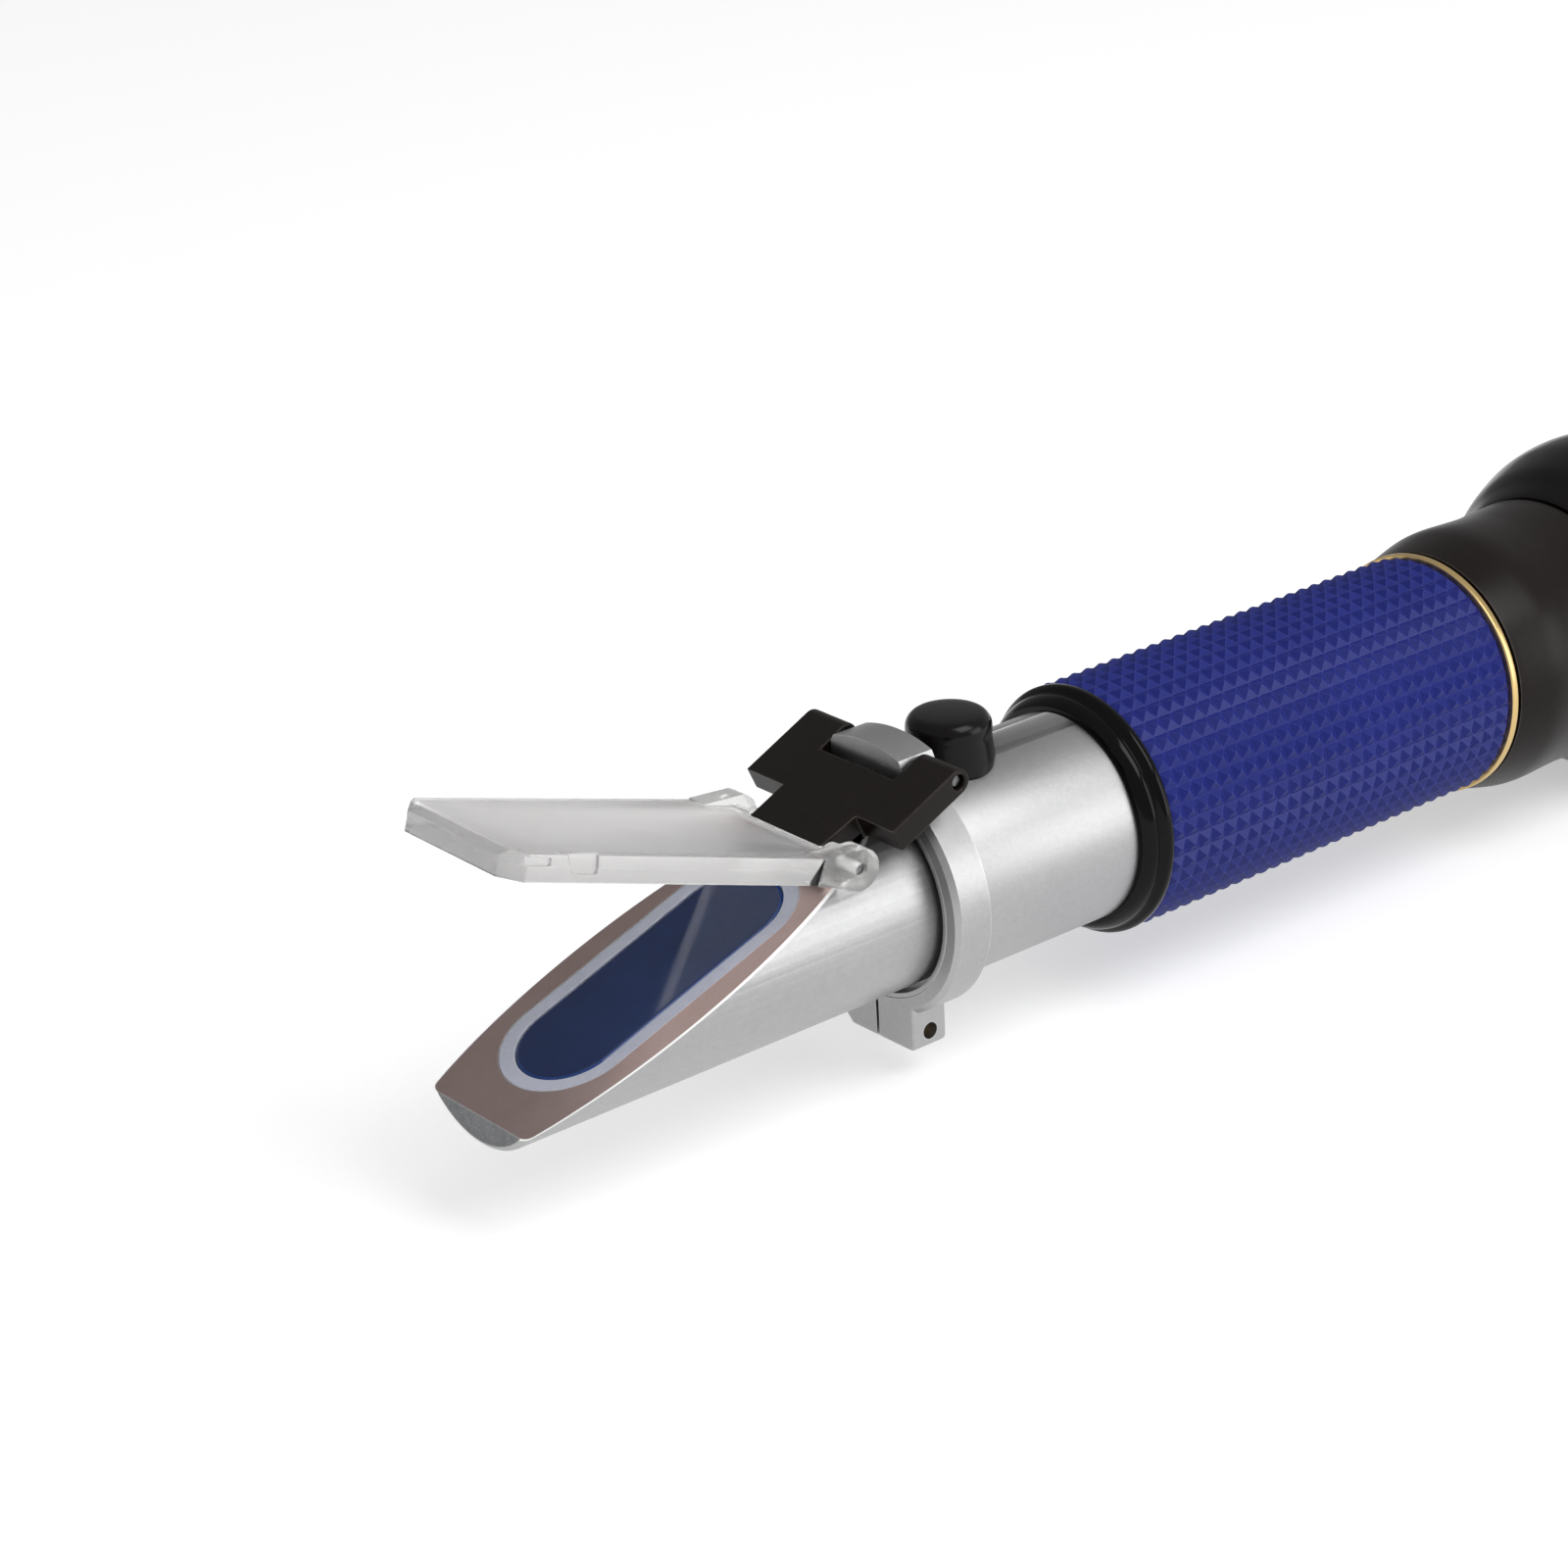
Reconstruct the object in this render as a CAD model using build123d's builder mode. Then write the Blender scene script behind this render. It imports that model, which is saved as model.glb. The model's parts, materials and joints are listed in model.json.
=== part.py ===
from build123d import *
from math import acos, atan2, cos, pi, radians, sin, sqrt
import os

# Handheld refractometer, in millimetres. +X runs along the tube towards the eyepiece, +Z is up.
# Stations are measured along the tube from the front edge of the grip. The origin is at the
# middle of the outline, level with the lowest point of the eyecup.

# Gaps between pieces that move on each other
pin_gap = 0.06
ring_gap = 0.06
barrel_gap = 0.06
lid_gap = 0.05
side_gap = 0.2

# Main tube
tube_radius = 12.5
tube_wall = 1.25
tube_front = -29.4
tube_length = 99.4
collar_relief = 0.6
collar_relief_depth = 1.9
collar_slot_width = 0.5
collar_slot_length = 8.5

# Prism head
nose_station = -84.0
head_length = 64.0
face_angle = 19.45
face_front_height = -7.5
nose_round = 0.8
light_path_cover = 0.95
light_path_length = 40.0
seal_radius = 0.6
seal_inset = 3.6

# Measuring prism and its cement band, a stadium on the slanted face
prism_half_width = 6.35
prism_front_centre = 13.3
prism_span = 23.0
prism_depth = 2.5
prism_wedge_length = 15.0
prism_wedge_half_width = 4.0
prism_wedge_drop = 9.0
cement_width = 1.85
cement_depth = 1.0

# Clamp ring with its hinge lug above and its screw ear below
clamp_radius = 14.5
clamp_width = 4.8
clamp_chamfer = 0.6
lug_radius = 18.2
lug_half_width = 6.0
lug_chamfer = 0.7
ear_drop = 18.0
ear_half_width = 6.2
ear_near_corner = 0.6
ear_far_corner = 1.6
clamp_split = 0.45
clamp_screw_drop = 15.9
clamp_screw_radius = 1.0
clamp_head_radius = 1.6
clamp_head_depth = 1.5
clamp_tip_recess = 1.6
clamp_hole_chamfer = 0.3

# Lid link
link_pin_setback = 2.6
link_pin_height = 16.15
link_pin_radius = 0.8
link_angle = 24.67
link_length = 14.86
link_thickness = 3.0
link_half_width = 12.5
link_wide_length = 9.9
link_notch_length = 3.7
link_notch_relief = 0.7
tongue_half_width = 6.2

# Daylight plate
plate_pin_radius = 0.7
plate_open_angle = 37.7
plate_thickness = 3.0
plate_length = 46.2
plate_front_half_width = 10.2
plate_rear_half_width = 11.6
plate_corner = 2.2
plate_bevel = 0.7
ear_pad_radius = 1.6
ear_cheek_radius = 2.4
ear_cheek_width = 2.5
ear_cheek_inset = 0.1
ear_cheek_length = 5.5
ear_heel_length = 4.0
plate_notch_depth = 2.0
plate_pin_recess = 0.2

# Calibration screw, its bush and the rubber cap over them
cal_setback = 12.1
bush_radius = 2.5
bush_height = 14.0
cal_screw_radius = 1.2
cal_head_radius = 1.9
cal_head_height = 1.0
cal_slot_width = 0.5
cal_slot_depth = 0.6
cap_height = 18.2
cap_crown_radius = 3.6
cap_shoulder_radius = 4.6
cap_shoulder_drop = 0.6
cap_side_radius = 5.0
cap_side_drop = 3.7
cap_foot_radius = 5.15
cap_foot_drop = 5.4
cap_roof = 1.6

# Grip
grip_ring_length = 3.5
grip_ring_reach = 0.5
grip_lip_radius = 13.1
grip_lip_swell = 0.3
grip_step_radius = 14.2
grip_step_at = 1.0
grip_step_width = 0.4
grip_bead_radius = 15.0
grip_bead_at = 2.2
grip_ring_radius = 14.75
grip_radius = 15.0
grip_length = 56.5
knurl_pitch = 3.1
knurl_depth = 0.55
rear_ring_width = 1.0
rear_ring_radius = 15.2

# Optics inside the tube
lens_radius = 9.2
lens_lip = 0.9
lens_rim = 1.9
objective_front = -19.0
objective_nose_length = 4.7
crown_thickness = 3.6
crown_front_sag = 1.3
crown_rear_sag = 1.0
flint_thickness = 2.6
flint_rear_sag = -0.5
retainer_thickness = 1.6
retainer_width = 1.2
wedge_cell_front = 14.0
wedge_cell_length = 4.0
wedge_radius = 8.6
wedge_thick_edge = 2.4
wedge_thin_edge = 1.2
wedge_lip = 0.6
strip_thickness = 0.6
strip_width = 6.0
strip_drop = 9.4
baffle_station = 26.0
baffle_thickness = 1.4
baffle_bore = 7.0
reticle_front = 38.0
reticle_seat_length = 5.0
reticle_thickness = 1.5
reticle_retainer_thickness = 1.5

# Focusing ring, the wire that holds it, and the eyepiece that it drives
focus_gap = 0.3
focus_length = 21.1
focus_front_radius = 15.2
focus_swell_radius = 16.6
focus_swell_at = 6.5
focus_swell_crown = 0.2
focus_waist_radius = 16.36
focus_waist_at = 13.4
focus_rear_radius = 16.59
wire_radius = 0.6
wire_inset = 4.0
barrel_front = 50.0
barrel_length = 37.5
barrel_wall = 1.4
barrel_lip = 1.0
guide_pin_station = 73.0
guide_pin_radius = 0.9
guide_pin_reach = 13.8
guide_groove_gap = 0.15
focus_travel = 5.0
field_lens_setback = 7.0
field_lens_thickness = 3.4
eye_lens_thickness = 4.4
lens_sag = 1.2
lens_spacer_length = 16.0
lens_spacer_wall = 1.0
eye_retainer_thickness = 1.6
eye_retainer_width = 1.7

# Eyecup
cup_gap = 0.3
cup_length = 18.8
cup_front_radius = 16.8
cup_flare_radius = 19.7
cup_flare_at = 4.5
cup_shoulder_radius = 21.1
cup_shoulder_at = 8.0
cup_radius = 21.8
cup_widest_at = 12.5
cup_rim_radius = 21.3
cup_wall = 1.9
cup_floor_radius = 12.6

# Places worked out from the sizes above
tube_bore = tube_radius - tube_wall
tube_rear = tube_front + tube_length
head_rear = nose_station + head_length
clamp_rear = tube_front + clamp_width
clamp_middle = tube_front + clamp_width / 2
face_tilt = radians(face_angle)
link_drop = radians(link_angle)
link_pin_station = tube_front + link_pin_setback
pocket_rear = prism_front_centre + prism_span + prism_half_width + cement_width
light_path_radius = (pocket_rear - light_path_cover) * sin(face_tilt) + face_front_height
lid_pin_station = link_pin_station - link_length * cos(link_drop)
lid_pin_height = link_pin_height - link_length * sin(link_drop)
pin_run = lid_pin_station - nose_station
pin_rise = lid_pin_height - face_front_height
pin_over_face = pin_rise * cos(face_tilt) - pin_run * sin(face_tilt)
plate_bottom = lid_gap - pin_over_face
plate_top = plate_bottom + plate_thickness
plate_slope = radians(plate_open_angle - face_angle)
plate_notch_half_width = tongue_half_width + side_gap
ear_cheek_outer = plate_rear_half_width - ear_cheek_inset
ear_cheek_inner = ear_cheek_outer - ear_cheek_width
tip_station = lid_pin_station - plate_length * cos(plate_slope) + plate_bottom * sin(plate_slope)
cal_station = tube_front + cal_setback
cap_bore = bush_radius + lid_gap
grip_front = grip_ring_length - grip_ring_reach
grip_rear = grip_front + grip_length
knurl_root = grip_radius - knurl_depth
knurl_count = round(2 * pi * grip_radius / knurl_pitch)
knurl_rows = round(grip_length / knurl_pitch)
focus_front = grip_rear + rear_ring_width + focus_gap
focus_rear = focus_front + focus_length
barrel_radius = tube_bore - barrel_gap
barrel_bore = barrel_radius - barrel_wall
barrel_rear = barrel_front + barrel_length
cup_front = focus_rear + cup_gap
cup_rear = cup_front + cup_length
shift_x = -(min(tip_station, nose_station) + cup_rear) / 2
axis_height = cup_radius

tube_axis = Axis((0, 0, axis_height), (1, 0, 0))
side_plane = Plane(origin=(shift_x, 0, axis_height), x_dir=(1, 0, 0), z_dir=(0, -1, 0))


def place(station, across, height):
    """Point in the part's frame for a station, a sideways offset and a height over the tube axis."""
    return (station + shift_x, across, height + axis_height)


def section_at(station):
    """Plane square to the tube, with its x across and its y up."""
    return Plane(origin=place(station, 0, 0), x_dir=(0, 1, 0), z_dir=(1, 0, 0))


def level_at(station, height):
    """Level plane over a station, with its x along the tube."""
    return Plane(origin=place(station, 0, height), x_dir=(1, 0, 0), z_dir=(0, 0, 1))


face_plane = Plane(
    origin=place(nose_station, 0, face_front_height),
    x_dir=(cos(face_tilt), 0, sin(face_tilt)),
    z_dir=(-sin(face_tilt), 0, cos(face_tilt)),
)
link_plane = Plane(
    origin=place(link_pin_station, 0, link_pin_height),
    x_dir=(-cos(link_drop), 0, -sin(link_drop)),
    z_dir=(0, 1, 0),
)
plate_side = Plane(
    origin=place(lid_pin_station, 0, lid_pin_height),
    x_dir=(-cos(plate_slope), 0, sin(plate_slope)),
    z_dir=(0, 1, 0),
)
plate_floor = Plane(
    origin=plate_side.origin + plate_side.y_dir * plate_bottom,
    x_dir=plate_side.x_dir,
    z_dir=plate_side.y_dir,
)
screw_line = Plane(
    origin=place(clamp_middle, -ear_half_width, -clamp_screw_drop),
    x_dir=(1, 0, 0),
    z_dir=(0, 1, 0),
)


def turned(outline, mode=Mode.ADD):
    """Turn an outline of (station, radius) corners about the tube axis, into the current piece."""
    with BuildSketch(side_plane) as profile:
        with BuildLine():
            Polyline(*outline, close=True)
        make_face()
    revolve(profile.sketch, axis=tube_axis, mode=mode)


def ring(front, rear, outer, inner):
    """Turn a plain ring between two stations, into the current piece."""
    turned([(front, inner), (rear, inner), (rear, outer), (front, outer)])


def bulge(sag, height, radius):
    """How far a round lens face stands out at a height, with its sag reached on the axis."""
    curve = (radius ** 2 + sag ** 2) / (2 * abs(sag))
    fall = curve - sqrt(curve ** 2 - height ** 2)
    return sag - fall if sag > 0 else sag + fall


def lens(front, rear, radius, front_sag, rear_sag):
    """Turn a lens with a flat rim. A positive sag bulges out of its side, a negative one hollows it."""
    clear = radius - lens_rim
    with BuildSketch(side_plane) as profile:
        with BuildLine():
            Line((front - front_sag, 0), (rear + rear_sag, 0))
            ThreePointArc(
                (rear + rear_sag, 0),
                (rear + bulge(rear_sag, clear / 2, clear), clear / 2),
                (rear, clear),
            )
            Polyline((rear, clear), (rear, radius), (front, radius), (front, clear))
            ThreePointArc(
                (front, clear),
                (front - bulge(front_sag, clear / 2, clear), clear / 2),
                (front - front_sag, 0),
            )
        make_face()
    revolve(profile.sketch, axis=tube_axis)


def stadium(half_width, mode=Mode.ADD):
    """Draw a stadium along the slanted face, round the prism's two end centres."""
    with Locations((prism_front_centre + prism_span / 2, 0)):
        SlotCenterToCenter(prism_span, 2 * half_width, mode=mode)


def tangent_point(radius, point, side):
    """Point where a line from an outside point touches a circle about the pin, above or below."""
    reach = sqrt(point[0] ** 2 + point[1] ** 2)
    angle = atan2(point[1], point[0]) + side * acos(radius / reach)
    return (radius * cos(angle), radius * sin(angle))


# Main tube, with a relief round the head at its mouth, a clamping slot and the bush hole
with BuildPart() as main_tube:
    turned([
        (tube_front, tube_bore + collar_relief),
        (tube_front, tube_radius),
        (tube_rear, tube_radius),
        (tube_rear, tube_bore),
        (tube_front + collar_relief_depth, tube_bore),
        (tube_front + collar_relief_depth, tube_bore + collar_relief),
    ])
    with BuildSketch(section_at(tube_front)):
        with Locations((0, -tube_radius)):
            Rectangle(collar_slot_width, 4 * tube_wall)
    extrude(amount=collar_slot_length, mode=Mode.SUBTRACT)
    with BuildSketch(level_at(cal_station, 0)):
        Circle(bush_radius)
    extrude(amount=2 * tube_radius, mode=Mode.SUBTRACT)
    turned([
        (focus_front + wire_inset - wire_radius, tube_radius - wire_radius),
        (focus_front + wire_inset + wire_radius, tube_radius - wire_radius),
        (focus_front + wire_inset + wire_radius, tube_radius + wire_radius),
        (focus_front + wire_inset - wire_radius, tube_radius + wire_radius),
    ], mode=Mode.SUBTRACT)
main_tube.part.label = "main_tube"

# Prism head: a rod with the slanted face, the prism pocket, the light path and the seal groove
with BuildPart() as prism_head:
    turned([
        (nose_station, 0),
        (nose_station, tube_bore),
        (head_rear - seal_inset - seal_radius, tube_bore),
        (head_rear - seal_inset - seal_radius, tube_bore - 2 * seal_radius),
        (head_rear - seal_inset + seal_radius, tube_bore - 2 * seal_radius),
        (head_rear - seal_inset + seal_radius, tube_bore),
        (head_rear, tube_bore),
        (head_rear, 0),
    ])
    nose_rim = prism_head.edges().filter_by(GeomType.CIRCLE).sort_by(Axis.X)[0]
    fillet(nose_rim, radius=nose_round)
    with BuildSketch(face_plane):
        with Locations((head_length / 2, 0)):
            Rectangle(2 * head_length, 4 * tube_bore)
    extrude(amount=4 * tube_bore, mode=Mode.SUBTRACT)
    with BuildSketch(face_plane):
        stadium(prism_half_width + cement_width)
    extrude(amount=-cement_depth, mode=Mode.SUBTRACT)
    with BuildSketch(face_plane):
        stadium(prism_half_width)
    extrude(amount=-prism_depth, mode=Mode.SUBTRACT)
    with BuildSketch(section_at(head_rear)):
        Circle(light_path_radius)
    extrude(amount=-light_path_length, mode=Mode.SUBTRACT)
prism_head.part.label = "prism_head"

# Measuring prism, with the wedge below it that sends the light down the tube
wedge_rear = prism_front_centre + prism_span + prism_half_width
with BuildPart() as measuring_prism:
    with BuildSketch(face_plane):
        stadium(prism_half_width)
    extrude(amount=-prism_depth)
    wedge_side = Plane(origin=face_plane.origin, x_dir=face_plane.x_dir, z_dir=(0, -1, 0))
    with BuildSketch(wedge_side):
        with BuildLine():
            Polyline(
                (wedge_rear - prism_wedge_length, -prism_depth),
                (wedge_rear, -prism_depth),
                (wedge_rear + prism_wedge_drop * sin(face_tilt), -prism_depth - prism_wedge_drop),
                close=True,
            )
        make_face()
    extrude(amount=prism_wedge_half_width, both=True)
measuring_prism.part.label = "measuring_prism"

with BuildPart() as prism_cement:
    with BuildSketch(face_plane):
        stadium(prism_half_width + cement_width)
        stadium(prism_half_width, mode=Mode.SUBTRACT)
    extrude(amount=-cement_depth)
prism_cement.part.label = "prism_cement"

with BuildPart() as head_seal:
    with BuildSketch(side_plane):
        with Locations((head_rear - seal_inset, tube_bore - seal_radius)):
            Circle(seal_radius)
    revolve(axis=tube_axis)
head_seal.part.label = "head_seal"

# Clamp ring, split below, with the hinge lug above it and the screw ear under it
lug_corner = sqrt(lug_radius ** 2 - lug_half_width ** 2) - lug_chamfer
with BuildPart() as clamp_ring:
    turned([
        (tube_front, tube_radius),
        (tube_front, clamp_radius - clamp_chamfer),
        (tube_front + clamp_chamfer, clamp_radius),
        (clamp_rear, clamp_radius),
        (clamp_rear, tube_radius),
    ])
    with BuildSketch(section_at(tube_front)):
        with BuildLine():
            Polyline(
                (-lug_half_width, 0),
                (lug_half_width, 0),
                (lug_half_width, lug_corner),
                (lug_half_width - lug_chamfer, lug_corner + lug_chamfer),
                (lug_half_width - lug_chamfer, lug_radius),
                (lug_chamfer - lug_half_width, lug_radius),
                (lug_chamfer - lug_half_width, lug_corner + lug_chamfer),
                (-lug_half_width, lug_corner),
                close=True,
            )
        make_face()
        Circle(lug_radius, mode=Mode.INTERSECT)
    extrude(amount=clamp_width)
    with BuildSketch(section_at(tube_front)):
        with BuildLine():
            Polyline(
                (-ear_half_width, 0),
                (-ear_half_width, ear_near_corner - ear_drop),
                (ear_near_corner - ear_half_width, -ear_drop),
                (ear_half_width - ear_far_corner, -ear_drop),
                (ear_half_width, ear_far_corner - ear_drop),
                (ear_half_width, 0),
                close=True,
            )
        make_face()
    extrude(amount=clamp_width)
    with BuildSketch(section_at(tube_front)):
        Circle(tube_radius)
        with Locations((0, -ear_drop)):
            Rectangle(clamp_split, 2 * (ear_drop - tube_bore))
    extrude(amount=clamp_width, mode=Mode.SUBTRACT)
    with BuildSketch(screw_line):
        Circle(clamp_screw_radius)
    extrude(amount=2 * ear_half_width, mode=Mode.SUBTRACT)
    with BuildSketch(screw_line.offset(2 * ear_half_width)):
        Circle(clamp_head_radius)
    extrude(amount=-clamp_head_depth, mode=Mode.SUBTRACT)
    with BuildSketch(Plane(origin=screw_line.origin, x_dir=(0, 1, 0), z_dir=(1, 0, 0))):
        with BuildLine():
            Polyline(
                (0, 0),
                (0, clamp_screw_radius + clamp_hole_chamfer),
                (clamp_screw_radius + clamp_hole_chamfer, 0),
                close=True,
            )
        make_face()
    revolve(axis=Axis(screw_line.origin, (0, 1, 0)), mode=Mode.SUBTRACT)
    with BuildSketch(link_plane):
        Circle(link_pin_radius)
    extrude(amount=lug_half_width, both=True, mode=Mode.SUBTRACT)
clamp_ring.part.label = "clamp_ring"

# Clamp screw, put in from the far side and ending short of the near face
with BuildPart() as clamp_screw:
    with BuildSketch(screw_line.offset(clamp_tip_recess)):
        Circle(clamp_screw_radius)
    extrude(amount=2 * ear_half_width - clamp_tip_recess - clamp_head_depth)
    with BuildSketch(screw_line.offset(2 * ear_half_width - clamp_head_depth)):
        Circle(clamp_head_radius)
    extrude(amount=clamp_head_depth)
    with BuildSketch(screw_line.offset(2 * ear_half_width)):
        Rectangle(cal_slot_width, 3 * clamp_head_radius)
    extrude(amount=-clamp_head_depth / 2, mode=Mode.SUBTRACT)
clamp_screw.part.label = "clamp_screw"

# Link pin, fixed in the lug and reaching through both arms of the link
with BuildPart() as link_pin:
    with BuildSketch(link_plane):
        Circle(link_pin_radius)
    extrude(amount=link_half_width, both=True)
link_pin.part.label = "link_pin"

# Lid link: two arms beside the lug, a broad web, and a tongue that ends round the plate pin
notch_half_width = lug_half_width + side_gap
with BuildPart() as cover_link:
    with BuildSketch(link_plane):
        Circle(link_thickness / 2)
        with Locations((link_wide_length / 2, 0)):
            Rectangle(link_wide_length, link_thickness)
    extrude(amount=link_half_width, both=True)
    with BuildSketch(link_plane):
        with Locations((link_length, 0)):
            Circle(link_thickness / 2)
        with Locations(((link_length + link_notch_length) / 2, 0)):
            Rectangle(link_length - link_notch_length, link_thickness)
    extrude(amount=tongue_half_width, both=True)
    with BuildSketch(link_plane):
        with BuildLine():
            Polyline(
                (-link_thickness, -link_thickness),
                (link_notch_length + link_notch_relief + link_thickness / 2, -link_thickness),
                (link_notch_length, link_notch_relief - link_thickness / 2),
                (link_notch_length, link_thickness),
                (-link_thickness, link_thickness),
                close=True,
            )
        make_face()
    extrude(amount=notch_half_width, both=True, mode=Mode.SUBTRACT)
    with BuildSketch(link_plane):
        Circle(link_pin_radius + pin_gap)
    extrude(amount=link_half_width, both=True, mode=Mode.SUBTRACT)
    with BuildSketch(plate_side):
        Circle(plate_pin_radius)
    extrude(amount=tongue_half_width, both=True, mode=Mode.SUBTRACT)
cover_link.part.label = "cover_link"

# Plate pin, fixed in the link's tongue
with BuildPart() as plate_pin:
    with BuildSketch(plate_side):
        Circle(plate_pin_radius)
    extrude(amount=ear_cheek_outer - plate_pin_recess, both=True)
plate_pin.part.label = "plate_pin"

# Daylight plate: a clear flat plate with a hinge ear on each side of the tongue
cheek_over = tangent_point(ear_cheek_radius, (ear_cheek_length, plate_top), 1)
cheek_under = tangent_point(ear_cheek_radius, (ear_heel_length, plate_bottom), -1)
front_side = plate_front_half_width
with BuildPart() as daylight_plate:
    with BuildSketch(plate_floor):
        with BuildLine():
            Polyline(
                (0, plate_rear_half_width),
                (plate_length - plate_corner, front_side),
                (plate_length, front_side - plate_corner),
                (plate_length, plate_corner - front_side),
                (plate_length - plate_corner, -front_side),
                (0, -plate_rear_half_width),
                close=True,
            )
        make_face()
    extrude(amount=plate_thickness)
    with BuildSketch(plate_side):
        Circle(ear_pad_radius)
    extrude(amount=ear_cheek_outer, both=True)
    for side in (-1, 1):
        with BuildSketch(plate_side.offset(side * ear_cheek_inner)):
            Circle(ear_cheek_radius)
            with BuildLine():
                Polyline(
                    (0, 0),
                    cheek_under,
                    (ear_heel_length, plate_bottom),
                    (ear_cheek_length, plate_bottom),
                    (ear_cheek_length, plate_top),
                    cheek_over,
                    close=True,
                )
            make_face()
        extrude(amount=side * ear_cheek_width)
    with BuildSketch(plate_side):
        with Locations((plate_notch_depth / 2 - ear_cheek_radius, 0)):
            Rectangle(plate_notch_depth + 2 * ear_cheek_radius, 4 * ear_cheek_radius)
    extrude(amount=plate_notch_half_width, both=True, mode=Mode.SUBTRACT)
    with BuildSketch(plate_side):
        with BuildLine():
            Polyline(
                (plate_length - plate_bevel, plate_top),
                (plate_length + plate_bevel, plate_top + plate_bevel),
                (plate_length + plate_bevel, plate_top - 2 * plate_bevel),
                close=True,
            )
        make_face()
    extrude(amount=plate_rear_half_width, both=True, mode=Mode.SUBTRACT)
    with BuildSketch(plate_side):
        Circle(plate_pin_radius + pin_gap)
    extrude(amount=plate_rear_half_width, both=True, mode=Mode.SUBTRACT)
daylight_plate.part.label = "daylight_plate"

# Calibration bush, pressed into the tube wall
cal_plane = Plane(origin=place(cal_station, 0, 0), x_dir=(1, 0, 0), z_dir=(0, -1, 0))
cal_axis = Axis(place(cal_station, 0, 0), (0, 0, 1))
bush_foot = tube_bore
with BuildPart() as calibration_bush:
    with BuildSketch(level_at(cal_station, bush_foot)):
        Circle(bush_radius)
        Circle(cal_screw_radius + pin_gap, mode=Mode.SUBTRACT)
    extrude(amount=bush_height - bush_foot)
calibration_bush.part.label = "calibration_bush"

# Calibration screw, with its slotted head over the bush
cal_head_floor = bush_height + lid_gap
with BuildPart() as calibration_screw:
    with BuildSketch(level_at(cal_station, bush_foot + lid_gap)):
        Circle(cal_screw_radius)
    extrude(amount=cal_head_floor - bush_foot - lid_gap)
    with BuildSketch(level_at(cal_station, cal_head_floor)):
        Circle(cal_head_radius)
    extrude(amount=cal_head_height)
    with BuildSketch(level_at(cal_station, cal_head_floor + cal_head_height)):
        Rectangle(3 * cal_head_radius, cal_slot_width)
    extrude(amount=-cal_slot_depth, mode=Mode.SUBTRACT)
calibration_screw.part.label = "calibration_screw"

# Rubber cap over the calibration screw, its foot shaped to the tube
with BuildPart() as calibration_cap:
    with BuildSketch(cal_plane):
        with BuildLine():
            Polyline(
                (cap_bore, 0),
                (cap_bore, cap_height - cap_roof),
                (0, cap_height - cap_roof),
                (0, cap_height),
                (cap_crown_radius, cap_height),
                (cap_shoulder_radius, cap_height - cap_shoulder_drop),
                (cap_side_radius, cap_height - cap_side_drop),
                (cap_foot_radius, cap_height - cap_foot_drop),
                (cap_side_radius, 0),
                close=True,
            )
        make_face()
    revolve(axis=cal_axis)
    with BuildSketch(section_at(cal_station)):
        Circle(tube_radius + lid_gap)
    extrude(amount=2 * cap_foot_radius, both=True, mode=Mode.SUBTRACT)
calibration_cap.part.label = "calibration_cap"

# Grip: a flared front ring that ends in a bead, the rubber sleeve and a thin rear ring
lip_middle = (grip_step_at - grip_ring_reach) / 2
with BuildPart() as grip_front_ring:
    turned([
        (-grip_ring_reach, tube_radius),
        (-grip_ring_reach, grip_lip_radius),
        (lip_middle, (grip_lip_radius + grip_step_radius) / 2 + grip_lip_swell),
        (grip_step_at, grip_step_radius),
        (grip_step_at + grip_step_width, grip_step_radius),
        (grip_bead_at, grip_bead_radius),
        (grip_front, grip_ring_radius),
        (grip_front, tube_radius),
    ])
grip_front_ring.part.label = "grip_front_ring"

# Rubber sleeve: teeth along its length, crossed by grooves round it, leave rows of pyramids
tooth_turn = 2 * pi / knurl_count
row_length = grip_length / knurl_rows
tooth_corners = []
for tooth in range(knurl_count):
    root_turn = tooth * tooth_turn
    tip_turn = root_turn + tooth_turn / 2
    tooth_corners.append((knurl_root * cos(root_turn), knurl_root * sin(root_turn)))
    tooth_corners.append((grip_radius * cos(tip_turn), grip_radius * sin(tip_turn)))
row_corners = [(grip_front, tube_radius)]
for row in range(knurl_rows):
    row_front = grip_front + row * row_length
    row_corners.append((row_front, knurl_root))
    row_corners.append((row_front + row_length / 2, grip_radius))
row_corners.append((grip_rear, knurl_root))
row_corners.append((grip_rear, tube_radius))
with BuildPart() as grip_sleeve:
    with BuildSketch(section_at(grip_front)):
        with BuildLine():
            Polyline(*tooth_corners, close=True)
        make_face()
    extrude(amount=grip_length)
    turned(row_corners, mode=Mode.INTERSECT)
grip_sleeve.part.label = "grip_sleeve"

with BuildPart() as grip_rear_ring:
    ring(grip_rear, grip_rear + rear_ring_width, rear_ring_radius, tube_radius)
grip_rear_ring.part.label = "grip_rear_ring"

# Objective: a cemented pair of lenses in its cell, held by a threaded ring
crown_front = objective_front + objective_nose_length
crown_rear = crown_front + crown_thickness
flint_rear = crown_rear + flint_thickness
objective_rear = flint_rear + retainer_thickness
with BuildPart() as objective_cell:
    turned([
        (objective_front, lens_radius - lens_lip),
        (objective_front, tube_bore),
        (objective_rear, tube_bore),
        (objective_rear, lens_radius),
        (crown_front, lens_radius),
        (crown_front, lens_radius - lens_lip),
    ])
objective_cell.part.label = "objective_cell"

with BuildPart() as objective_crown:
    lens(crown_front, crown_rear, lens_radius, crown_front_sag, crown_rear_sag)
objective_crown.part.label = "objective_crown"

with BuildPart() as objective_flint:
    lens(crown_rear, flint_rear, lens_radius, -crown_rear_sag, flint_rear_sag)
objective_flint.part.label = "objective_flint"

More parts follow.
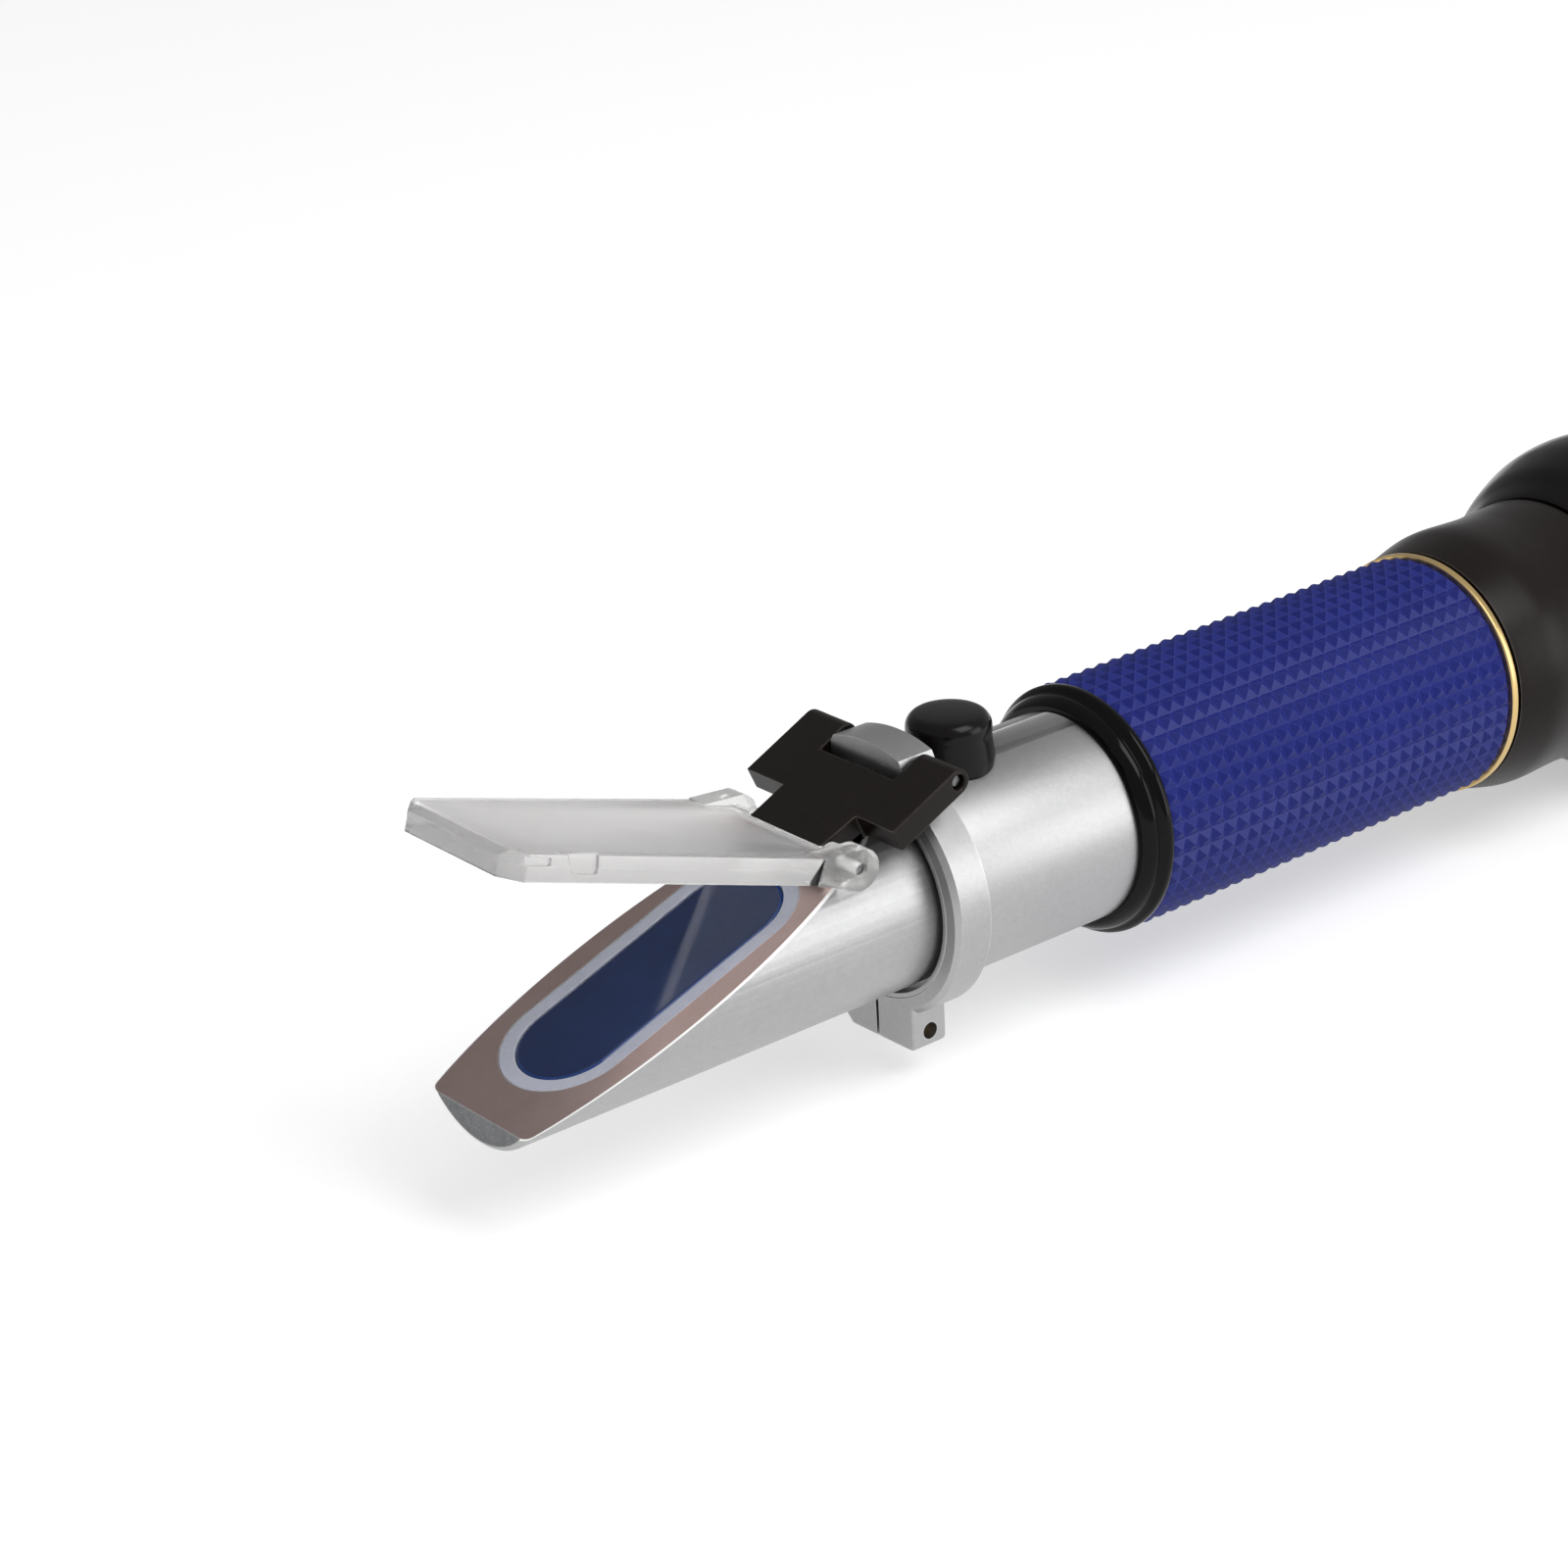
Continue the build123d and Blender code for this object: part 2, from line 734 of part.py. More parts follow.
with BuildPart() as objective_retainer:
    ring(flint_rear, objective_rear, lens_radius, lens_radius - retainer_width)
objective_retainer.part.label = "objective_retainer"

# Temperature compensation: a weak wedge in its frame, carried by a two-metal strip
wedge_cell_rear = wedge_cell_front + wedge_cell_length
with BuildPart() as compensator_frame:
    turned([
        (wedge_cell_front, wedge_radius - wedge_lip),
        (wedge_cell_front, tube_bore),
        (wedge_cell_rear, tube_bore),
        (wedge_cell_rear, wedge_radius),
        (wedge_cell_rear - wedge_thick_edge, wedge_radius),
        (wedge_cell_rear - wedge_thick_edge, wedge_radius - wedge_lip),
    ])
compensator_frame.part.label = "compensator_frame"

with BuildPart() as compensator_wedge:
    ring_front = wedge_cell_rear - wedge_thick_edge
    with BuildSketch(section_at(ring_front)):
        Circle(wedge_radius)
    extrude(amount=wedge_thick_edge)
    with BuildSketch(side_plane):
        with BuildLine():
            Polyline(
                (wedge_cell_rear, -wedge_radius),
                (wedge_cell_rear, wedge_radius),
                (ring_front + wedge_thin_edge, wedge_radius),
                close=True,
            )
        make_face()
    extrude(amount=wedge_radius, both=True, mode=Mode.SUBTRACT)
compensator_wedge.part.label = "compensator_wedge"

with BuildPart() as bimetal_strip:
    with BuildSketch(section_at(objective_rear)):
        with Locations((0, -strip_drop - strip_thickness / 2)):
            Rectangle(strip_width, strip_thickness)
    extrude(amount=wedge_cell_front - objective_rear)
bimetal_strip.part.label = "bimetal_strip"

with BuildPart() as light_baffle:
    ring(baffle_station, baffle_station + baffle_thickness, tube_bore, baffle_bore)
light_baffle.part.label = "light_baffle"

# Scale disc in its holder, plain glass here
reticle_seat = reticle_front + reticle_seat_length
reticle_rear = reticle_seat + reticle_thickness
with BuildPart() as reticle_holder:
    turned([
        (reticle_front, lens_radius - lens_lip),
        (reticle_front, tube_bore),
        (reticle_rear + reticle_retainer_thickness, tube_bore),
        (reticle_rear + reticle_retainer_thickness, lens_radius),
        (reticle_seat, lens_radius),
        (reticle_seat, lens_radius - lens_lip),
    ])
reticle_holder.part.label = "reticle_holder"

with BuildPart() as reticle_disc:
    with BuildSketch(section_at(reticle_seat)):
        Circle(lens_radius)
    extrude(amount=reticle_thickness)
reticle_disc.part.label = "reticle_disc"

with BuildPart() as reticle_retainer:
    retainer_rear = reticle_rear + reticle_retainer_thickness
    ring(reticle_rear, retainer_rear, lens_radius, lens_radius - retainer_width)
reticle_retainer.part.label = "reticle_retainer"

# Wire ring that sits in the tube's groove and keeps the focusing ring from sliding off
wire_station = focus_front + wire_inset
with BuildPart() as focus_clip:
    with BuildSketch(side_plane):
        with Locations((wire_station, tube_radius)):
            Circle(wire_radius)
    revolve(axis=tube_axis)
focus_clip.part.label = "focus_clip"

# Focusing ring, with a groove for the wire and a straight groove for the guide pin
focus_bore = tube_radius + ring_gap
swell_start_radius = (focus_front_radius + focus_swell_radius) / 2 + focus_swell_crown
wire_room = wire_radius + ring_gap
with BuildPart() as focus_ring:
    turned([
        (focus_front, focus_bore),
        (focus_front, focus_front_radius),
        (focus_front + focus_swell_at / 2, swell_start_radius),
        (focus_front + focus_swell_at, focus_swell_radius),
        (focus_front + focus_waist_at, focus_waist_radius),
        (focus_rear, focus_rear_radius),
        (focus_rear, focus_bore),
    ])
    turned([
        (wire_station - wire_room, focus_bore - ring_gap),
        (wire_station + wire_room, focus_bore - ring_gap),
        (wire_station + wire_room, tube_radius + wire_room),
        (wire_station - wire_room, tube_radius + wire_room),
    ], mode=Mode.SUBTRACT)
    groove_front = guide_pin_station - guide_pin_radius - guide_groove_gap
    groove_rear = guide_pin_station + focus_travel + guide_pin_radius + guide_groove_gap
    groove_width = 2 * (guide_pin_radius + ring_gap)
    with BuildSketch(level_at((groove_front + groove_rear) / 2, 0)):
        Rectangle(groove_rear - groove_front, groove_width)
    extrude(amount=guide_pin_reach + guide_groove_gap, mode=Mode.SUBTRACT)
focus_ring.part.label = "focus_ring"

# Eyepiece barrel, sliding in the tube, with a lip before the field lens
field_front = barrel_front + field_lens_setback
field_rear = field_front + field_lens_thickness
eye_front = field_rear + lens_spacer_length
eye_rear = eye_front + eye_lens_thickness
with BuildPart() as eyepiece_barrel:
    turned([
        (barrel_front, barrel_bore - barrel_lip),
        (barrel_front, barrel_radius),
        (barrel_rear, barrel_radius),
        (barrel_rear, barrel_bore),
        (field_front, barrel_bore),
        (field_front, barrel_bore - barrel_lip),
    ])
    with BuildSketch(level_at(guide_pin_station, 0)):
        Circle(guide_pin_radius)
    extrude(amount=2 * barrel_radius, mode=Mode.SUBTRACT)
eyepiece_barrel.part.label = "eyepiece_barrel"

with BuildPart() as guide_pin:
    with BuildSketch(level_at(guide_pin_station, barrel_bore)):
        Circle(guide_pin_radius)
    extrude(amount=guide_pin_reach - barrel_bore)
guide_pin.part.label = "guide_pin"

with BuildPart() as field_lens:
    lens(field_front, field_rear, barrel_bore, lens_sag, lens_sag)
field_lens.part.label = "field_lens"

with BuildPart() as lens_spacer:
    ring(field_rear, eye_front, barrel_bore, barrel_bore - lens_spacer_wall)
lens_spacer.part.label = "lens_spacer"

with BuildPart() as eye_lens:
    lens(eye_front, eye_rear, barrel_bore, lens_sag, lens_sag)
eye_lens.part.label = "eye_lens"

with BuildPart() as eye_lens_retainer:
    eye_end = eye_rear + eye_retainer_thickness
    ring(eye_rear, eye_end, barrel_bore, barrel_bore - eye_retainer_width)
eye_lens_retainer.part.label = "eye_lens_retainer"

# Eyecup: a flared rubber bowl on the end of the barrel
cup_floor = barrel_rear
with BuildPart() as eyecup:
    turned([
        (cup_front, barrel_radius),
        (cup_front, cup_front_radius),
        (cup_front + cup_flare_at, cup_flare_radius),
        (cup_front + cup_shoulder_at, cup_shoulder_radius),
        (cup_front + cup_widest_at, cup_radius),
        (cup_rear, cup_rim_radius),
        (cup_rear, cup_rim_radius - cup_wall),
        (cup_front + cup_shoulder_at, cup_shoulder_radius - 2 * cup_wall),
        (cup_floor, cup_floor_radius),
        (cup_floor, barrel_radius),
    ])
eyecup.part.label = "eyecup"

pieces = (
    main_tube, prism_head, measuring_prism, prism_cement, head_seal, clamp_ring, clamp_screw,
    link_pin, cover_link, plate_pin, daylight_plate, calibration_bush, calibration_screw,
    calibration_cap, grip_front_ring, grip_sleeve, grip_rear_ring, objective_cell,
    objective_crown, objective_flint, objective_retainer, compensator_frame,
    compensator_wedge, bimetal_strip, light_baffle, reticle_holder, reticle_disc,
    reticle_retainer, focus_clip, focus_ring, eyepiece_barrel, guide_pin, field_lens,
    lens_spacer, eye_lens, eye_lens_retainer, eyecup,
)
os.makedirs("parts", exist_ok=True)
for piece in pieces:
    export_step(piece.part, "parts/" + piece.part.label + ".step")
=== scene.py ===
"""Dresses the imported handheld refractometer: meshes, finishes, floor, lamps and camera.

Lengths are in mm, save where a docstring says otherwise. A station is a distance along the tube
from the front of the grip towards the eyecup.
"""

import json
import logging
import math
from contextlib import contextmanager
from dataclasses import dataclass
from enum import Enum
from typing import Callable, Iterator, Optional, Sequence

import bmesh
import bpy
from mathutils import Euler, Matrix, Vector


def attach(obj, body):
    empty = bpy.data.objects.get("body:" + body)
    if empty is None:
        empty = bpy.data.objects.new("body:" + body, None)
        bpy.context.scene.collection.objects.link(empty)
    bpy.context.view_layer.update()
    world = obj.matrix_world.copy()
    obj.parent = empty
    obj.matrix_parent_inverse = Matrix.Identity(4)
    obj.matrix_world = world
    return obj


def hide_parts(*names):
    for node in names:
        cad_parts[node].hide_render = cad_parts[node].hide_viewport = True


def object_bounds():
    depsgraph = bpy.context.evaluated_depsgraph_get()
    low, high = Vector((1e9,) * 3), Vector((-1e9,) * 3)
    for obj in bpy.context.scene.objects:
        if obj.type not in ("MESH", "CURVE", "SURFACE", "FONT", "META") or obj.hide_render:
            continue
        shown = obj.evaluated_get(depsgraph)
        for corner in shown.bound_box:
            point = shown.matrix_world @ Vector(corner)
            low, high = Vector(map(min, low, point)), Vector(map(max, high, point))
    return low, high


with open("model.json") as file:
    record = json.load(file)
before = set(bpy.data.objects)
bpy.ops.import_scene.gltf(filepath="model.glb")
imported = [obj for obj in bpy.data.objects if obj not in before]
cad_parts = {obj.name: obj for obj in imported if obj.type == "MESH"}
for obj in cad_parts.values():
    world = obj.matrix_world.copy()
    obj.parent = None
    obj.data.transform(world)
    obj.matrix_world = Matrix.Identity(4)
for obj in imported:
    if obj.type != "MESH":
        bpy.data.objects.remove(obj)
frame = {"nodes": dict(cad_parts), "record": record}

LOG = logging.getLogger("refractometer")
CAD_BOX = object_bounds()

Point = tuple[float, float]
Triple = tuple[float, float, float]

MIDDLE_STATION = 8.12
AXIS_HEIGHT = 21.8
TUBE_RADIUS = 12.5
HEAD_RADIUS = 11.25
CAP_STATION = -17.3
SHIFT_X = (CAD_BOX[0].x + CAD_BOX[1].x) / 2 * 1000 - MIDDLE_STATION

# Station and height of the two lid pins, rounded to a thousandth of a mm
LINK_LENGTH = 14.86
LINK_SLOPE = 24.67
LINK_PIN = (-26.8, 16.15)
PLATE_PIN = (round(LINK_PIN[0] - LINK_LENGTH * math.cos(math.radians(LINK_SLOPE)), 3),
             round(LINK_PIN[1] - LINK_LENGTH * math.sin(math.radians(LINK_SLOPE)), 3))

FRONT = Vector((-1, 0, 0))
NEAR_AXIS = 0.001
THROUGH = 20.0


class Body(Enum):
    """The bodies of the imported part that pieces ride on."""

    TUBE = "tube_body"
    LINK = "link_body"
    PLATE = "plate_body"
    CAP = "cap_body"
    FOCUS = "focus_body"
    EYEPIECE = "eyepiece_body"


class Shading(Enum):
    """Angle in degrees above which two faces meet at a sharp edge."""

    CRISP = 25.0
    TURNED = 40.0
    BEVELLED = 50.0
    ROUND = 80.0


def spot(station: float, across: float, height: float) -> Vector:
    """Turn a station, sideways offset and height over the tube axis into the part's frame.

    Args:
        station: Distance along the tube.
        across: Distance to the far side.
        height: Height over the tube axis.

    Returns:
        The point in metres.
    """
    return Vector((station + SHIFT_X, across, height + AXIS_HEIGHT)) / 1000


@dataclass(frozen=True)
class Seat:
    """A flat working frame: an origin and the slope of its first direction in degrees.

    The first direction lies in the plane of the tube axis and the vertical, the second is square
    to it, and the third points to the far side. Forward is -1 where the first direction points to
    the prism, and 1 where it points to the eyecup.
    """

    station: float
    height: float
    slope: float = 0.0
    forward: float = -1.0

    def point(self, along: float, up: float, across: float) -> Vector:
        """Turn a point of this frame into the part's frame.

        Args:
            along: Distance in the first direction.
            up: Distance in the second direction.
            across: Distance to the far side.

        Returns:
            The point in metres.
        """
        tilt = math.radians(self.slope)
        run = self.forward * (along * math.cos(tilt) - up * math.sin(tilt))
        rise = along * math.sin(tilt) + up * math.cos(tilt)
        return spot(self.station + run, across, self.height + rise)

    def way(self, along: float, up: float) -> Vector:
        """Direction of this frame, as a unit vector of the part's frame."""
        return (self.point(along, up, 0) - self.point(0, 0, 0)).normalized()

    def reach(self, place: Vector, way: Vector) -> float:
        """How far a place in metres lies from the origin along a direction, in mm."""
        return (place - self.point(0, 0, 0)).dot(way) * 1000


def eased(outline: Sequence[Point], radii: Sequence[float], steps: int) -> list[Point]:
    """Round the corners of an outline.

    Args:
        outline: Corners in order, closed.
        radii: One rounding radius per corner, 0 for a sharp one.
        steps: Number of edges in each rounding.

    Returns:
        The outline with arcs in place of its rounded corners.
    """
    made: list[Point] = []
    for index, (corner, radius) in enumerate(zip(outline, radii)):
        if radius <= 0:
            made.append(corner)
            continue
        here = Vector(corner)
        before = Vector(outline[index - 1]) - here
        after = Vector(outline[(index + 1) % len(outline)]) - here
        opening = before.angle(after)
        before.normalize()
        after.normalize()
        reach = radius / math.tan(opening / 2)
        middle = here + (before + after).normalized() * (radius / math.sin(opening / 2))
        first = here + before * reach - middle
        last = here + after * reach - middle
        for step in range(steps + 1):
            point = middle + first.lerp(last, step / steps).normalized() * radius
            made.append((point.x, point.y))
    return made


def arc(centre: Point, radius: float, start: float, end: float, steps: int) -> list[Point]:
    """Points on a circle between two angles in degrees."""
    turn = [math.radians(start + (end - start) * step / steps) for step in range(steps + 1)]
    return [(centre[0] + radius * math.cos(a), centre[1] + radius * math.sin(a)) for a in turn]


def disc(radius: float) -> list[Point]:
    """Outline of a round pin or hole, of 45 corners."""
    return arc((0, 0), radius, 0, 352, 44)


def oblong(first: float, last: float, low: float, high: float) -> list[Point]:
    """Corners of a rectangle."""
    return [(first, low), (last, low), (last, high), (first, high)]


def hollow(outside: Sequence[Point], inner: float) -> list[Point]:
    """Close an outside line of (station, radius) corners down to an inner radius."""
    return [(outside[0][0], inner), *outside, (outside[-1][0], inner)]


def flowing(knots: Sequence[Point], steps: int = 4) -> list[Point]:
    """Smooth line through knots, straight on at its ends.

    Args:
        knots: Points that the line goes through.
        steps: Number of edges between two knots.

    Returns:
        The points of the line, knots included.
    """
    made: list[Point] = []
    for index in range(len(knots) - 1):
        p1, p2 = Vector(knots[index]), Vector(knots[index + 1])
        p0 = Vector(knots[index - 1]) if index else p1 * 2 - p2
        p3 = Vector(knots[index + 2]) if index + 2 < len(knots) else p2 * 2 - p1
        for step in range(steps):
            t = step / steps
            point = 0.5 * (
                2 * p1 + (p2 - p0) * t + (2 * p0 - 5 * p1 + 4 * p2 - p3) * t * t
                + (3 * p1 - p0 - 3 * p2 + p3) * t ** 3
            )
            made.append((point.x, point.y))
    made.append(knots[-1])
    return made


def placed(name: str, data: bpy.types.ID) -> bpy.types.Object:
    """Put an object of some mesh, lamp or camera into the scene.

    Args:
        name: Name of the object.
        data: What it shows.

    Returns:
        The new object.
    """
    made = bpy.data.objects.new(name, data)
    bpy.context.scene.collection.objects.link(made)
    return made


def looks(face: bpy.types.MeshPolygon, way: Vector, cosine: float = 0.97) -> bool:
    """Whether a face looks along a direction, to within the angle of a cosine."""
    return face.normal.dot(way) > cosine


@contextmanager
def editing(mesh: bpy.types.Mesh) -> Iterator[bmesh.types.BMesh]:
    """Open a mesh for editing, and write it back at the end.

    Args:
        mesh: The mesh.

    Returns:
        Its faces, edges and corners, ready to change.
    """
    net = bmesh.new()
    net.from_mesh(mesh)
    yield net
    net.to_mesh(mesh)
    net.free()


class Mesher:
    """Makes and trims meshes in the part's frame."""

    @staticmethod
    def shade(piece: bpy.types.Object, shading: Shading) -> None:
        """Shade smooth, with sharp edges where faces meet at more than the style's angle."""
        piece.data.shade_smooth()
        piece.data.set_sharp_from_angle(angle=math.radians(shading.value))

    @staticmethod
    def solid(name: str, points: Sequence[Vector], faces: Sequence[Sequence[int]],
              shading: Shading = Shading.CRISP) -> bpy.types.Object:
        """Make an object of points and faces.

        Args:
            name: Name of the piece.
            points: Corners in metres.
            faces: Corner numbers of each face.
            shading: How its faces shade where they meet.

        Returns:
            The new object, in the scene.
        """
        mesh = bpy.data.meshes.new(name)
        mesh.from_pydata([tuple(p) for p in points], [], faces)
        made = placed(name, mesh)
        with editing(mesh) as net:
            bmesh.ops.remove_doubles(net, verts=net.verts, dist=1e-7)
            bmesh.ops.recalc_face_normals(net, faces=net.faces)
        Mesher.shade(made, shading)
        return made

    @staticmethod
    def rows(name: str, rows: Sequence[Sequence[Vector]], shading: Shading = Shading.CRISP,
             ring: bool = False) -> bpy.types.Object:
        """Join rows of equally many points, each a closed outline, into a solid.

        Args:
            name: Name of the piece.
            rows: Points of each row, in metres.
            shading: How its faces shade where they meet.
            ring: Whether the last row joins the first. If not, a face closes each end.

        Returns:
            The closed object.
        """
        count, total = len(rows[0]), len(rows) * len(rows[0])
        ends = [tuple(range(count)), tuple(range(total - 1, total - count - 1, -1))]
        faces = [] if ring else ends
        for row in range(len(rows) if ring else len(rows) - 1):
            here, there = row * count, (row + 1) % len(rows) * count
            for index in range(count):
                after = (index + 1) % count
                faces.append((here + index, there + index, there + after, here + after))
        return Mesher.solid(name, [point for row in rows for point in row], faces, shading)

    @staticmethod
    def lathe(name: str, outline: Sequence[Point], segments: int,
              shading: Shading = Shading.TURNED) -> bpy.types.Object:
        """Turn a closed outline about the tube axis.

        Args:
            name: Name of the piece.
            outline: (station, radius) corners.
            segments: Number of faces round the axis.
            shading: How its faces shade where they meet.

        Returns:
            The turned object.
        """
        turns = [2 * math.pi * turn / segments for turn in range(segments)]
        return Mesher.rows(name, [[spot(station, radius * math.sin(a), radius * math.cos(a))
                                   for station, radius in outline] for a in turns],
                           shading, ring=True)

    @staticmethod
    def post(name: str, outline: Sequence[Point], segments: int,
             foot_radius: float = 0.0) -> bpy.types.Object:
        """Turn a closed outline about the vertical axis of the calibration cap.

        Args:
            name: Name of the piece.
            outline: (radius, height) corners.
            segments: Number of faces round the axis.
            foot_radius: Radius of the tube that corners at height 0 and below stand on.

        Returns:
            The turned object.
        """
        rows = []
        for turn in range(segments):
            angle = 2 * math.pi * turn / segments
            rows.append([])
            for radius, height in outline:
                across = radius * math.sin(angle)
                level = height
                if foot_radius and height <= 0:
                    level = math.sqrt(foot_radius ** 2 - across ** 2) - height
                rows[-1].append(spot(CAP_STATION + radius * math.cos(angle), across, level))
        return Mesher.rows(name, rows, Shading.TURNED, ring=True)

    @staticmethod
    def slab(name: str, outline: Sequence[Point], seat: Seat, near: float,
             far: float) -> bpy.types.Object:
        """Push an outline of (along, up) corners sideways across the tube."""
        return Mesher.rows(name, [[seat.point(a, u, y) for a, u in outline] for y in (near, far)])

    @staticmethod
    def stack(name: str, seat: Seat, *layers: tuple[float, Sequence[Point]]
              ) -> bpy.types.Object:
        """Join plan outlines of (along, across) corners, each at its height over a seat."""
        return Mesher.rows(name, [[seat.point(a, level, y) for a, y in outline]
                                  for level, outline in layers])

    @staticmethod
    def section(name: str, outline: Sequence[Point], front: float,
                rear: float) -> bpy.types.Object:
        """Push an outline of (across, height) corners along the tube."""
        return Mesher.rows(name, [[spot(x, y, z) for y, z in outline] for x in (front, rear)])

    @staticmethod
    def settle(piece: bpy.types.Object) -> bpy.types.Object:
        """Apply every modifier of a piece to its mesh.

        Args:
            piece: The piece that is changed.

        Returns:
            The changed piece.
        """
        graph = bpy.context.evaluated_depsgraph_get()
        made = bpy.data.meshes.new_from_object(piece.evaluated_get(graph))
        old = piece.data
        piece.modifiers.clear()
        piece.data = made
        bpy.data.meshes.remove(old)
        return piece

    @staticmethod
    def merge(piece: bpy.types.Object, action: str,
              *tools: bpy.types.Object) -> bpy.types.Object:
        """Add tools to a piece or cut them out of it, and throw the tools away.

        Args:
            piece: The piece that is changed.
            action: UNION or DIFFERENCE.
            *tools: The objects that change it.

        Returns:
            The changed piece.
        """
        for tool in tools:
            step = piece.modifiers.new("trim", "BOOLEAN")
            step.operation = action
            step.solver = "EXACT"
            step.object = tool
            Mesher.settle(piece)
            bpy.data.objects.remove(tool)
        return piece

    @staticmethod
    def ease(piece: bpy.types.Object, width: float, steps: int,
             angle: float) -> bpy.types.Object:
        """Round the edges of a piece.

        Args:
            piece: The piece that is changed.
            width: Width of the rounding.
            steps: Number of faces in it.
            angle: Edges flatter than this many degrees stay as they are.

        Returns:
            The changed piece.
        """
        with editing(piece.data) as net:
            bmesh.ops.remove_doubles(net, verts=net.verts, dist=2e-6)
            bmesh.ops.dissolve_limit(net, angle_limit=math.radians(0.2), verts=net.verts,
                                     edges=net.edges)
        step = piece.modifiers.new("ease", "BEVEL")
        step.width = width / 1000
        step.segments = steps
        step.limit_method = "ANGLE"
        step.angle_limit = math.radians(angle)
        step.use_clamp_overlap = True
        step.harden_normals = False
        Mesher.settle(piece)
        Mesher.shade(piece, Shading.BEVELLED)
        even = piece.modifiers.new("even", "WEIGHTED_NORMAL")
        even.keep_sharp = True
        even.weight = 100
        return Mesher.settle(piece)


class Tree:
    """A node tree with short ways to add and join nodes."""

    def __init__(self, tree: bpy.types.NodeTree) -> None:
        """Keep the tree that nodes go into."""
        self.tree = tree

    @classmethod
    def blank(cls, owner: bpy.types.ID) -> "Tree":
        """Empty the nodes of a material or a world.

        Args:
            owner: The material or world.

        Returns:
            Its node tree.
        """
        owner.use_nodes = True
        owner.node_tree.nodes.clear()
        return cls(owner.node_tree)

    def add(self, kind: str, settings: Optional[dict] = None,
            **sockets: object) -> bpy.types.Node:
        """Add a node.

        Args:
            kind: Blender's name of the node type.
            settings: Properties of the node.
            **sockets: Inputs by name, with _ for a space, or by number, as n0. Each is a value
                or an output to join.

        Returns:
            The new node.
        """
        node = self.tree.nodes.new(kind)
        for key, value in (settings or {}).items():
            setattr(node, key, value)
        for key, value in sockets.items():
            slot = node.inputs[int(key[1:]) if key[0] == "n" and key[1:].isdigit()
                               else key.replace("_", " ")]
            self.put(slot, value)
        return node

    def put(self, slot: bpy.types.NodeSocket, value: object) -> None:
        """Give an input a value, or join an output to it.

        Args:
            slot: The input.
            value: A number, a colour of three numbers or an output.
        """
        if isinstance(value, bpy.types.NodeSocket):
            self.tree.links.new(value, slot)
        elif isinstance(value, tuple) and slot.type == "RGBA":
            slot.default_value = (*value, 1.0)
        else:
            slot.default_value = value

    def sum(self, action: str, first: object, second: object,
            clamp: bool = False) -> bpy.types.NodeSocket:
        """Result of a sum of two numbers."""
        return self.add("ShaderNodeMath", {"operation": action, "use_clamp": clamp},
                        n0=first, n1=second).outputs[0]

    def mix(self, share: object, first: object, second: object) -> bpy.types.NodeSocket:
        """Mix of two numbers."""
        return self.add("ShaderNodeMix", {"data_type": "FLOAT"}, Factor=share, n2=first,
                        n3=second).outputs[0]

    def blend(self, share: object, first: object, second: object) -> bpy.types.NodeSocket:
        """Mix of two colours."""
        return self.add("ShaderNodeMix", {"data_type": "RGBA"}, Factor=share, n6=first,
                        n7=second).outputs[2]

    def spread(self, value: object, low: object, high: object, to_low: float = 0.0,
               to_high: float = 1.0) -> bpy.types.NodeSocket:
        """A number moved from one range to another, held at its ends."""
        return self.add("ShaderNodeMapRange", {"clamp": True}, Value=value, From_Min=low,
                        From_Max=high, To_Min=to_low, To_Max=to_high).outputs[0]

    def noise(self, **sockets: object) -> bpy.types.NodeSocket:
        """Noise that sticks to the piece."""
        place = self.add("ShaderNodeTexCoord").outputs["Object"]
        return self.add("ShaderNodeTexNoise", Vector=place, **sockets).outputs["Fac"]


